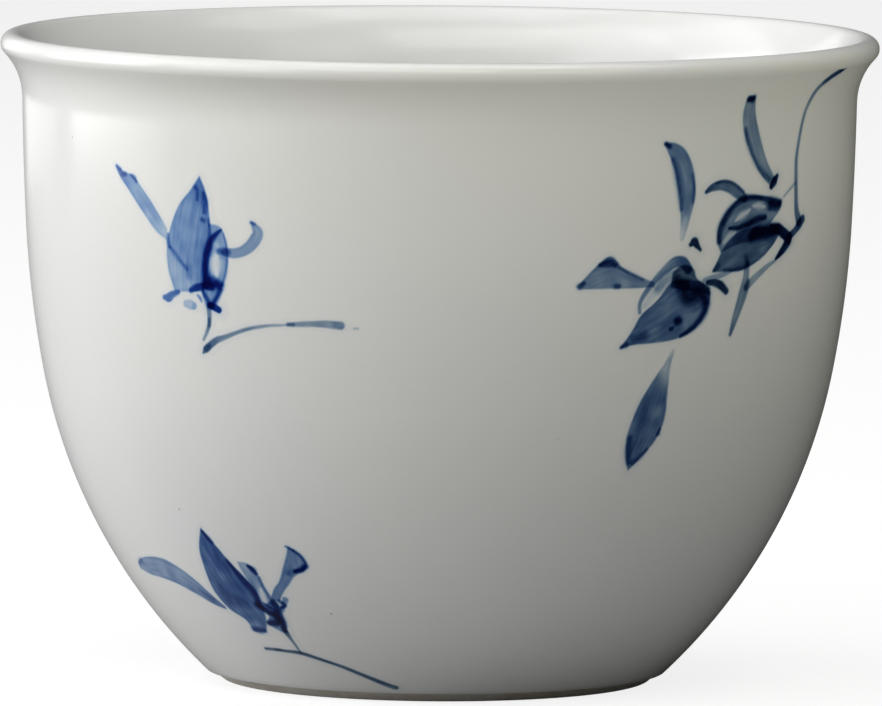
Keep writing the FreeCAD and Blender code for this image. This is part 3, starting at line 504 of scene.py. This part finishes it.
# The film stops where there is less cobalt than this, and leaves out patches of fewer grid
# points.  Its edge keeps a share of a cell from them, and it reaches above and below the
# glaze's surface.
VISIBLE_COBALT = 0.012
SMALLEST_PATCH = 16
CLOSEST_CROSSING = 0.02
FILM_ABOVE = 0.012
FILM_BELOW = 0.12
# How far in front of and behind its plane a drawing can meet the glaze.
NEAREST_GLAZE = 4.0
FARTHEST_GLAZE = -12.0
HALVINGS = 40


def distance_run(path):
    """How far along a path each of its points lies."""
    return np.concatenate([[0], np.cumsum(np.hypot(*np.diff(path[:, :2], axis=0).T))])


def smooth_path(points, step):
    """A smooth curve through points of any width, sampled at about one step."""
    points = np.asarray(points, float)
    padded = np.vstack([2 * points[0] - points[1], points, 2 * points[-1] - points[-2]])
    samples = []
    for i in range(len(points) - 1):
        before, start, end, after = padded[i:i + 4]
        count = max(2, int(np.hypot(*(end - start)[:2]) / step))
        for t in np.arange(count) / count:
            samples.append(0.5 * (2 * start + (end - before) * t
                                  + (2 * before - 5 * start + 4 * end - after) * t ** 2
                                  + (3 * start - before - 3 * end + after) * t ** 3))
    samples.append(points[-1])
    return np.array(samples)


def even_path(points, count):
    """The same curve at a fixed number of evenly spaced places."""
    path = smooth_path(points, SHORT_STEP)
    run = distance_run(path)
    places = np.linspace(0, run[-1], count)
    return np.column_stack([np.interp(places, run, path[:, k]) for k in range(path.shape[1])])


def ease(low, high, value):
    """From 0 at low to 1 at high, without a corner at either."""
    t = np.clip((value - low) / (high - low), 0, 1)
    return t * t * (3 - 2 * t)


def grain(x, y, seed):
    """Smooth random values from -1 to 1 over a plane."""
    table = np.random.default_rng(seed).uniform(-1, 1, (GRAIN_TABLE, GRAIN_TABLE))
    column = np.floor(x).astype(int)
    row = np.floor(y).astype(int)
    fx = ease(0, 1, x - column)
    fy = ease(0, 1, y - row)
    left, right = column % GRAIN_TABLE, (column + 1) % GRAIN_TABLE
    under, over = row % GRAIN_TABLE, (row + 1) % GRAIN_TABLE
    low = table[under, left] * (1 - fx) + table[under, right] * fx
    high = table[over, left] * (1 - fx) + table[over, right] * fx
    return low * (1 - fy) + high * fy


def along_stroke(x, y, path):
    """Nearest place on a stroke's middle line: share of its length, distance run, signed
    offset, distance away, and the number of the nearest point."""
    offset_x = x[..., None] - path[:, 0]
    offset_y = y[..., None] - path[:, 1]
    nearest = np.argmin(offset_x ** 2 + offset_y ** 2, axis=-1)
    tangent = np.gradient(path[:, :2], axis=0)
    tangent /= np.maximum(np.hypot(*tangent.T), 1e-9)[:, None]
    run = distance_run(path)
    dx = x - path[nearest, 0]
    dy = y - path[nearest, 1]
    ahead = dx * tangent[nearest, 0] + dy * tangent[nearest, 1]
    across = tangent[nearest, 0] * dy - tangent[nearest, 1] * dx
    return run[nearest] / run[-1], run[nearest] + ahead, across, np.hypot(dx, dy), nearest


def depth_inside(x, y, outline):
    """Distance to a closed outline, positive inside it."""
    distance = np.full(x.shape, np.inf)
    inside = np.zeros(x.shape, bool)
    for (ax, ay), (bx, by) in zip(outline, np.roll(outline, -1, axis=0)):
        length = (bx - ax) ** 2 + (by - ay) ** 2
        if length < 1e-12:
            continue
        t = np.clip(((x - ax) * (bx - ax) + (y - ay) * (by - ay)) / length, 0, 1)
        distance = np.minimum(distance, np.hypot(x - ax - t * (bx - ax), y - ay - t * (by - ay)))
        crosses = (ay > y) != (by > y)
        if by != ay:
            inside ^= crosses & (x < (bx - ax) * (y - ay) / (by - ay) + ax)
    return np.where(inside, distance, -distance)


def stroke_shape(stroke):
    """A stroke's middle line, its half widths, and its outline if it is a petal."""
    if stroke["kind"] != "petal":
        path = smooth_path(stroke["points"], PATH_STEP)
        return path, np.maximum(path[:, 2], THINNEST_LINE), None
    edges = [even_path(edge, EDGE_POINTS) for edge in stroke["edges"]]
    widths = np.hypot(*(edges[0] - edges[1]).T) / 2
    return (edges[0] + edges[1]) / 2, widths, np.vstack([edges[0], edges[1][::-1]])


def laid_cobalt(stroke, x, y, place, depth, seed):
    """How much cobalt a brush stroke leaves: streaks along it, pooling at its rim, and a
    soft edge where it bled into the glaze."""
    share, run, across, half = place
    streaks = grain(run / LONG_STREAK[0] + 7, across / LONG_STREAK[1] + 31, seed) * 0.5
    streaks += grain(run / SHORT_STREAK[0], across / SHORT_STREAK[1], seed + 500) * 0.5
    patches = grain(x / PATCH_SIZE, y / PATCH_SIZE, seed + 700)
    lean = stroke["side"] * np.clip(across / half, -1, 1)
    amount = stroke["wash"] * (1 + STREAKS * streaks + PATCHES * patches - lean)
    amount += stroke["tip"] * ease(TIP_FROM, 1.0, share)
    amount += stroke["root"] * (1 - ease(0.0, ROOT_TO, share))
    amount += stroke["pool"] * np.exp(-np.maximum(depth, 0) / RIM_WIDTH)
    amount = np.maximum(amount, LEAST_WASH)
    feather = BLEED * (1 + WAVER * grain(x / WAVER_SIZE, y / WAVER_SIZE, seed + 300))
    halo = HALO * amount * np.exp(-np.maximum(-depth, 0) / HALO_REACH)
    return amount * ease(-feather, feather, depth) + np.where(depth < 0, halo, HALO * amount)


def cells_within(cells, values, pad):
    """The cells from pad before the lowest value to pad past the highest."""
    return slice(*np.searchsorted(cells, [values.min() - pad, values.max() + pad]))


class Drawing:
    """The cobalt of one place on a fine grid, in the millimetres of its flat plane."""

    def __init__(self, groups):
        points = np.array([point[:2] for name, strokes, grey in groups for stroke in strokes
                           for point in stroke.get("points") or sum(stroke["edges"], [])])
        low = points.min(0) - MARGIN
        high = points.max(0) + MARGIN
        self.xs = np.arange(low[0], high[0], CELL)
        self.ys = np.arange(low[1], high[1], CELL)
        self.x, self.y = np.meshgrid(self.xs, self.ys)
        self.layers = {}
        grey_total = np.zeros(self.x.shape)
        for number, (name, strokes, grey) in enumerate(groups):
            self.layers[name], grey_layer = self.paint(strokes, grey, number)
            grey_total += grey_layer
        self.total = sum(self.layers.values())
        self.greyness = grey_total / np.maximum(self.total, 1e-6)

    def paint(self, strokes, group_grey, group):
        """The sum of one group's strokes, less its windows, and its grey share."""
        layer = np.zeros(self.x.shape)
        grey_layer = np.zeros(self.x.shape)
        for number, stroke in enumerate(strokes):
            path, widths, outline = stroke_shape(stroke)
            pad = STROKE_ROOM + widths.max()
            rows = cells_within(self.ys, path[:, 1], pad)
            columns = cells_within(self.xs, path[:, 0], pad)
            x = self.x[rows, columns]
            y = self.y[rows, columns]
            share, run, across, away, nearest = along_stroke(x, y, path)
            half = np.maximum(widths[nearest], THINNEST_SHADE)
            gathered = stroke["wash"] * np.exp(-(away / (half * FALL_REACH)) ** FALL_POWER)
            if stroke["kind"] == "window":
                layer[rows, columns] *= 1 - np.clip(gathered, 0, 1)
                grey_layer[rows, columns] *= 1 - np.clip(gathered, 0, 1)
                continue
            if stroke["kind"] == "shade":
                streaks = grain(run / SHADE_STREAK[0], across / SHADE_STREAK[1], 900 + number)
                amount = gathered * (1 + SHADE_STREAKS * streaks)
            else:
                depth = widths[nearest] - away
                if outline is not None:
                    depth = depth_inside(x, y, outline)
                amount = laid_cobalt(stroke, x, y, (share, run, across, half), depth,
                                     50 * group + number)
            grey = group_grey if stroke["grey"] is None else stroke["grey"]
            layer[rows, columns] += amount
            grey_layer[rows, columns] += amount * grey
        return layer, grey_layer


def lay_on_cup(place, flat, lift):
    """Points of a flat drawing laid on the glaze along the drawing plane's normal."""
    azimuth, radius, height, lean = PLACES[place]
    around = math.radians(azimuth)
    back = math.radians(lean)
    outward = np.array([math.sin(around), -math.cos(around), 0])
    upright = np.array([0, 0, 1.0])
    right = np.array([math.cos(around), math.sin(around), 0])
    normal = outward * math.cos(back) - upright * math.sin(back)
    up = outward * math.sin(back) + upright * math.cos(back)
    base = outward * radius + upright * height + flat[:, :1] * right + flat[:, 1:2] * up
    low = np.full(len(flat), FARTHEST_GLAZE)
    high = np.full(len(flat), NEAREST_GLAZE)
    for _ in range(HALVINGS):
        middle = (low + high) / 2
        at = base + middle[:, None] * normal
        outside = np.hypot(at[:, 0], at[:, 1]) > np.interp(at[:, 2], WALL_HEIGHT, WALL_RADIUS)
        high = np.where(outside, middle, high)
        low = np.where(outside, low, middle)
    at = base + low[:, None] * normal
    facing = np.radians(np.interp(at[:, 2], WALL_HEIGHT, WALL_FACING))
    radial = at[:, :2] / np.hypot(at[:, 0], at[:, 1])[:, None]
    return at + lift * np.column_stack([radial * np.cos(facing)[:, None], np.sin(facing)])


def without_specks(level):
    """The level with stray specks of under SMALLEST_PATCH grid points taken out."""
    level = level.copy()
    unseen = level > 0
    while unseen.any():
        start = tuple(np.argwhere(unseen)[0])
        patch = [start]
        unseen[start] = False
        for r, c in patch:
            for neighbour in ((r + 1, c), (r - 1, c), (r, c + 1), (r, c - 1)):
                if unseen[neighbour]:
                    unseen[neighbour] = False
                    patch.append(neighbour)
        if len(patch) < SMALLEST_PATCH:
            level[tuple(np.array(patch).T)] = -VISIBLE_COBALT
    return level


def film(name, place, drawing, level):
    """One node's cobalt as a thin closed film, cut out where its level is positive."""
    inside = level > 0
    touched = inside[:-1, :-1] | inside[1:, :-1] | inside[:-1, 1:] | inside[1:, 1:]
    rows, columns = np.nonzero(touched)
    stain = np.dstack([drawing.total, drawing.greyness])
    flat = []
    stains = []
    index = {}
    tops = []
    rims = []

    def corner(r, c):
        if (r, c) not in index:
            index[(r, c)] = len(flat)
            flat.append((drawing.xs[c], drawing.ys[r]))
            stains.append(stain[r, c])
        return index[(r, c)]

    def crossing(a, b):
        key = (min(a, b), max(a, b))
        if key not in index:
            t = level[a] / (level[a] - level[b])
            t = min(max(t, CLOSEST_CROSSING), 1 - CLOSEST_CROSSING)
            index[key] = len(flat)
            flat.append(((1 - t) * drawing.xs[a[1]] + t * drawing.xs[b[1]],
                         (1 - t) * drawing.ys[a[0]] + t * drawing.ys[b[0]]))
            stains.append((1 - t) * stain[a] + t * stain[b])
        return index[key]

    for r, c in zip(rows.tolist(), columns.tolist()):
        ring = [(r, c), (r, c + 1), (r + 1, c + 1), (r + 1, c)]
        polygon = []
        leaving = []
        for a, b in zip(ring, ring[1:] + ring[:1]):
            if inside[a]:
                polygon.append(corner(*a))
            if inside[a] != inside[b]:
                polygon.append(crossing(a, b))
                leaving.append((polygon[-1], inside[a]))
        tops.append(tuple(polygon))
        for position, (vertex, going_out) in enumerate(leaving):
            if going_out:
                rims.append((vertex, leaving[(position + 1) % len(leaving)][0]))
    count = len(flat)
    flat = np.array(flat)
    points = np.vstack([lay_on_cup(place, flat, FILM_ABOVE), lay_on_cup(place, flat, -FILM_BELOW)])
    faces = tops + [tuple(v + count for v in reversed(face)) for face in tops]
    faces += [(b, a, a + count, b + count) for a, b in rims]
    piece = new_piece(name + "_film", points, faces, name)
    stains = np.array(stains + stains, np.float32)
    for column, quantity in enumerate(("cobalt", "greyness")):
        attribute = piece.data.attributes.new(quantity, "FLOAT", "POINT")
        attribute.data.foreach_set("value", stains[:, column].copy())
    return piece


# Where two groups of a place meet, the first one's film has the shared stretch.
films = []
for place, groups in BRUSHWORK.items():
    drawing = Drawing(groups)
    earlier = []
    for name, strokes, grey in groups:
        level = drawing.layers[name] - VISIBLE_COBALT
        for layer in earlier:
            level = np.minimum(level, VISIBLE_COBALT - layer)
        films.append(film(f"{place}_{name}", place, drawing, without_specks(level)))
        earlier.append(drawing.layers[name])


# ---- Materials ----
GLAZE_WHITE = (0.872, 0.87, 0.864)
GLAZE_COOL = (0.857, 0.864, 0.864)
GLAZE_SPECK = (0.6, 0.57, 0.52)
GLAZE_ROUGHNESS = 0.17
GLAZE_IOR = 1.5
DRIFTS_PER_METRE = 45
SPECKS_PER_METRE = 190
WAVES_PER_METRE = 55
WAVE_HEIGHT = 0.0004
PITS_PER_METRE = 900
PIT_DEPTH = 0.00006
CLAY_DARK = (0.62, 0.58, 0.52)
CLAY_LIGHT = (0.72, 0.69, 0.64)
CLAY_FLASH = (0.55, 0.43, 0.31)
CLAY_ROUGHNESS = 0.82
GRAINS_PER_METRE = 1400
GRAIN_HEIGHT = 0.00004
FLASHES_PER_METRE = 160
FLASH_FROM = 0.0002
FLASH_FULL = 0.0009
MOST_COBALT = 5.0
COBALT_STOPS = 16
# How strongly a unit of cobalt darkens red, green and blue light.
CLEAR_COBALT = (2.1, 1.38, 0.56)
GREY_COBALT = (1.82, 1.4, 1.07)


def new_material(name):
    """A material with its node tree and its shader."""
    material = bpy.data.materials.new(name)
    material.use_nodes = True
    tree = material.node_tree
    return material, tree, tree.nodes["Principled BSDF"]


def feed(tree, node, values):
    """Gives a node's inputs, by socket name, plain values or other nodes' outputs."""
    for socket, value in values.items():
        if isinstance(value, bpy.types.NodeSocket):
            tree.links.new(value, node.inputs[socket])
        else:
            node.inputs[socket].default_value = value


def add(tree, kind, values=None, **settings):
    """A node with its settings and inputs."""
    made = tree.nodes.new(kind)
    for setting, value in settings.items():
        setattr(made, setting, value)
    feed(tree, made, values or {})
    return made


def ramp(tree, source, stops):
    """A colour ramp from (place, grey value or colour) stops."""
    made = add(tree, "ShaderNodeValToRGB", {"Fac": source})
    elements = made.color_ramp.elements
    while len(elements) < len(stops):
        elements.new(0.5)
    for element, (place, colour) in zip(elements, stops):
        element.position = place
        rgb = colour if isinstance(colour, tuple) else (colour,) * 3
        element.color = (*rgb, 1.0)
    return made.outputs["Color"]


def blend_colours(tree, factor, first, second, how="MIX"):
    """Two colours, each plain or from a socket, blended by a number or a socket."""
    made = add(tree, "ShaderNodeMix", data_type="RGBA", blend_type=how)
    for socket, value in (("Factor", factor), ("A", first), ("B", second)):
        slots = [i for i in made.inputs if i.name == socket and i.enabled]
        if isinstance(value, bpy.types.NodeSocket):
            tree.links.new(value, slots[0])
        elif socket == "Factor":
            slots[0].default_value = value
        else:
            slots[0].default_value = (*value, 1.0)
    return [o for o in made.outputs if o.enabled][0]


def noise(tree, place, scale, detail=3.0, roughness=0.5):
    made = add(tree, "ShaderNodeTexNoise", {"Vector": place, "Scale": scale, "Detail": detail,
                                            "Roughness": roughness})
    return made.outputs["Fac"]


def rescaled(tree, value, low, high, new_low=0.0, new_high=1.0):
    """A value brought from low..high to new_low..new_high, and held between them."""
    made = add(tree, "ShaderNodeMapRange", {"Value": value, "From Min": low, "From Max": high,
                                            "To Min": new_low, "To Max": new_high})
    return made.outputs["Result"]


def relief(tree, height, strength, distance):
    """A bump node for a surface that isn't quite even."""
    return add(tree, "ShaderNodeBump", {"Height": height, "Strength": strength,
                                        "Distance": distance})


def object_place(tree):
    return add(tree, "ShaderNodeTexCoord").outputs["Object"]


def glaze_colour(tree, place):
    """Fired white glaze: faint warm and cool drifts and a few pinhead specks."""
    drift = ramp(tree, noise(tree, place, DRIFTS_PER_METRE, 2.0), [(0.35, 0.0), (0.65, 1.0)])
    white = blend_colours(tree, drift, GLAZE_WHITE, GLAZE_COOL)
    specks = add(tree, "ShaderNodeTexVoronoi",
                 {"Vector": place, "Scale": SPECKS_PER_METRE, "Randomness": 1.0})
    clean = ramp(tree, specks.outputs["Distance"], [(0.012, 0.0), (0.032, 1.0)])
    return blend_colours(tree, clean, GLAZE_SPECK, white)


def glaze_gloss(tree, place, shader):
    """The gloss of the glaze, over a surface that is never quite even."""
    waves = relief(tree, noise(tree, place, WAVES_PER_METRE, 1.0), 0.35, WAVE_HEIGHT)
    pits = relief(tree, noise(tree, place, PITS_PER_METRE, 2.0), 0.12, PIT_DEPTH)
    feed(tree, pits, {"Normal": waves.outputs["Normal"]})
    feed(tree, shader, {"Roughness": GLAZE_ROUGHNESS, "IOR": GLAZE_IOR,
                        "Normal": pits.outputs["Normal"]})


def clear_glaze():
    material, tree, shader = new_material("clear glaze")
    place = object_place(tree)
    feed(tree, shader, {"Base Color": glaze_colour(tree, place)})
    glaze_gloss(tree, place, shader)
    return material


def cobalt_ramp(tree, amount, absorption):
    """Light that comes back through more and more cobalt."""
    stops = []
    for step in range(COBALT_STOPS):
        cobalt = MOST_COBALT * (step / (COBALT_STOPS - 1)) ** 1.6
        stops.append((cobalt / MOST_COBALT, tuple(math.exp(-a * cobalt) for a in absorption)))
    return ramp(tree, amount, stops)


def cobalt_brushwork():
    """Cobalt under the glaze, as dark as each stroke laid it, clear blue or greyer."""
    material, tree, shader = new_material("cobalt brushwork")
    place = object_place(tree)
    laid = add(tree, "ShaderNodeAttribute", attribute_name="cobalt").outputs["Fac"]
    amount = rescaled(tree, laid, 0.0, MOST_COBALT)
    grey = add(tree, "ShaderNodeAttribute", attribute_name="greyness").outputs["Fac"]
    stain = blend_colours(tree, grey, cobalt_ramp(tree, amount, CLEAR_COBALT),
                          cobalt_ramp(tree, amount, GREY_COBALT))
    colour = blend_colours(tree, 1.0, glaze_colour(tree, place), stain, "MULTIPLY")
    feed(tree, shader, {"Base Color": colour})
    glaze_gloss(tree, place, shader)
    return material


def bare_porcelain():
    """Unglazed clay of the foot: chalky, fine grained, warmer near the glaze line."""
    material, tree, shader = new_material("bare porcelain")
    place = object_place(tree)
    height = add(tree, "ShaderNodeSeparateXYZ", {"Vector": place}).outputs["Z"]
    grains = noise(tree, place, GRAINS_PER_METRE, 4.0, 0.6)
    clay_tone = blend_colours(tree, ramp(tree, grains, [(0.3, 0.0), (0.7, 1.0)]),
                              CLAY_DARK, CLAY_LIGHT)
    rise = rescaled(tree, height, FLASH_FROM, FLASH_FULL)
    flash = blend_colours(tree, rise, clay_tone, CLAY_FLASH)
    patchy = ramp(tree, noise(tree, place, FLASHES_PER_METRE), [(0.42, 0.0), (0.7, 0.8)])
    surface = relief(tree, grains, 0.5, GRAIN_HEIGHT)
    feed(tree, shader, {"Base Color": blend_colours(tree, patchy, clay_tone, flash),
                        "Roughness": CLAY_ROUGHNESS, "Normal": surface.outputs["Normal"]})
    return material


def card(name, tone, glow):
    """Matt studio card, very slightly mottled, with some light of its own."""
    material, tree, shader = new_material(name)
    mottle = ramp(tree, noise(tree, object_place(tree), 3.0, 2.0), [(0.3, 0.0), (0.7, 1.0)])
    colour = blend_colours(tree, mottle, (tone,) * 3, (tone * 1.02,) * 3)
    feed(tree, shader, {"Base Color": colour, "Roughness": 0.9, "Specular IOR Level": 0.0,
                        "Emission Color": (1.0, 1.0, 1.0, 1.0), "Emission Strength": glow})
    return material


for finish, pieces in ((clear_glaze(), [glaze, recess]), (cobalt_brushwork(), films),
                       (bare_porcelain(), [clay])):
    for piece in pieces:
        piece.data.materials.append(finish)

# ---- Floor, light and camera, in metres and watts ----
DISC_SIDES = 96
FLOOR_RADIUS = 4.0
BOUNCE_RADIUS = 0.15
BOUNCE_HEIGHT = -0.0001
CUP_MIDDLE = Vector((0, 0, 28 * MM))
WHITE = (1.0, 1.0, 1.0)
WARM_WHITE = (1.0, 0.995, 0.93)
# The low light of the studio: its colour, how much of it the left and the right give, and
# how bright the wall is that the glaze reflects.
LOW_WARMTH = (1.0, 1.0, 0.78)
LEFT_SHARE = 0.6
RIGHT_SHARE = 1.5
WALL_TONE = 0.4

# Lamps: name, bearing, elevation, distance, width, height, power and colour.
LAMPS = [
    ("low window", -100, 10, 0.7, 0.5, 0.35, 2.1, WHITE),
    ("high window", -100, 35, 0.7, 0.5, 0.35, 0.95, WHITE),
    ("back left", -145, 8, 0.7, 0.4, 0.3, 0.3, WHITE),
    ("left front", -55, 12, 0.7, 0.4, 0.35, 0.8, WHITE),
    ("high left front", -60, 42, 0.7, 0.4, 0.35, 0.85, WHITE),
    ("high front", -10, 45, 0.8, 0.6, 0.35, 1.35, WARM_WHITE),
    ("overhead", 0, 89, 0.8, 0.6, 0.6, 2.0, WHITE),
    ("right front", 40, 28, 0.8, 0.4, 0.35, 0.5, WARM_WHITE),
    ("high right", 75, 62, 0.8, 0.4, 0.4, 0.8, WARM_WHITE),
]

CAMERA_ELEVATION = 5.169
CAMERA_DISTANCE = 1.25
CAMERA_ROLL = math.radians(0.412)
# Focal length and sensor width, in millimetres.
CAMERA_LENS = 586.3
CAMERA_SENSOR = 36.0
CAMERA_SHIFT = (0.0036, 0.0053)


def disc(name, radius, height, material):
    ring = [(radius * math.cos(a), radius * math.sin(a), height)
            for a in np.linspace(0, 2 * math.pi, DISC_SIDES, endpoint=False)]
    mesh = bpy.data.meshes.new(name)
    mesh.from_pydata(ring, [], [tuple(range(DISC_SIDES))])
    mesh.materials.append(material)
    piece = bpy.data.objects.new(name, mesh)
    bpy.context.scene.collection.objects.link(piece)
    return piece


# The floor that shows throws no light back.  A darker card at the same height does that.
floor = disc("floor", FLOOR_RADIUS, 0.0, card("floor card", tone=0.22, glow=0.84))
floor.visible_diffuse = False
floor.visible_glossy = False
floor.visible_shadow = False
bounce = disc("bounce", BOUNCE_RADIUS, BOUNCE_HEIGHT, card("bounce card", tone=0.42, glow=0.0))
bounce.visible_camera = False
bounce.visible_glossy = False


def around_cup(bearing, elevation, distance):
    """A place seen from the cup; bearing 0 is in front and 90 to the right."""
    b = math.radians(bearing)
    e = math.radians(elevation)
    return CUP_MIDDLE + distance * Vector((math.sin(b) * math.cos(e),
                                           -math.cos(b) * math.cos(e), math.sin(e)))


def softbox(name, bearing, elevation, distance, width, height, power, colour):
    """A lamp that faces the cup."""
    light = bpy.data.lights.new(name, "AREA")
    light.shape = "RECTANGLE"
    light.size = width
    light.size_y = height
    light.energy = power
    light.color = colour
    lamp = bpy.data.objects.new(name, light)
    bpy.context.scene.collection.objects.link(lamp)
    lamp.location = around_cup(bearing, elevation, distance)
    lamp.rotation_euler = (lamp.location - CUP_MIDDLE).to_track_quat("Z", "Y").to_euler()


def studio_air():
    """Soft warm light from low down, more of it from the right, a pale wall behind the
    cup's left side in reflections, and a white view behind the cup."""
    world = bpy.data.worlds.new("studio")
    bpy.context.scene.world = world
    world.use_nodes = True
    tree = world.node_tree
    direction = add(tree, "ShaderNodeTexCoord").outputs["Generated"]
    parts = add(tree, "ShaderNodeSeparateXYZ", {"Vector": direction})
    tilt = rescaled(tree, parts.outputs["Z"], -1.0, 1.0)
    low_light = ramp(tree, tilt, [(0.0, LOW_WARMTH), (0.35, LOW_WARMTH), (0.48, 0.0)])
    side = rescaled(tree, parts.outputs["X"], -1.0, 1.0, LEFT_SHARE, RIGHT_SHARE)
    fill = blend_colours(tree, 1.0, low_light, side, "MULTIPLY")
    behind = rescaled(tree, parts.outputs["Y"], 0.0, 0.5, 0.0, WALL_TONE)
    leftward = rescaled(tree, parts.outputs["X"], 0.1, -0.5)
    wall = blend_colours(tree, 1.0, behind, leftward, "MULTIPLY")
    rays = add(tree, "ShaderNodeLightPath")
    seen = blend_colours(tree, rays.outputs["Is Glossy Ray"], fill, wall)
    backdrop = blend_colours(tree, rays.outputs["Is Camera Ray"], seen, WHITE)
    feed(tree, tree.nodes["Background"], {"Color": backdrop})


def front_camera():
    """A long lens in front of the cup, a little above it and very slightly rolled."""
    lens = bpy.data.cameras.new("camera")
    lens.lens = CAMERA_LENS
    lens.sensor_width = CAMERA_SENSOR
    lens.shift_x, lens.shift_y = CAMERA_SHIFT
    camera = bpy.data.objects.new("camera", lens)
    bpy.context.scene.collection.objects.link(camera)
    camera.location = around_cup(0, CAMERA_ELEVATION, CAMERA_DISTANCE)
    towards_cup = (camera.location - CUP_MIDDLE).to_track_quat("Z", "Y").to_matrix().to_4x4()
    camera.matrix_world = (Matrix.Translation(camera.location) @ towards_cup
                           @ Matrix.Rotation(CAMERA_ROLL, 4, "Z"))
    return camera


for lamp in LAMPS:
    softbox(*lamp)
studio_air()
bpy.context.scene.camera = front_camera()
bpy.context.scene.view_settings.view_transform = "Standard"
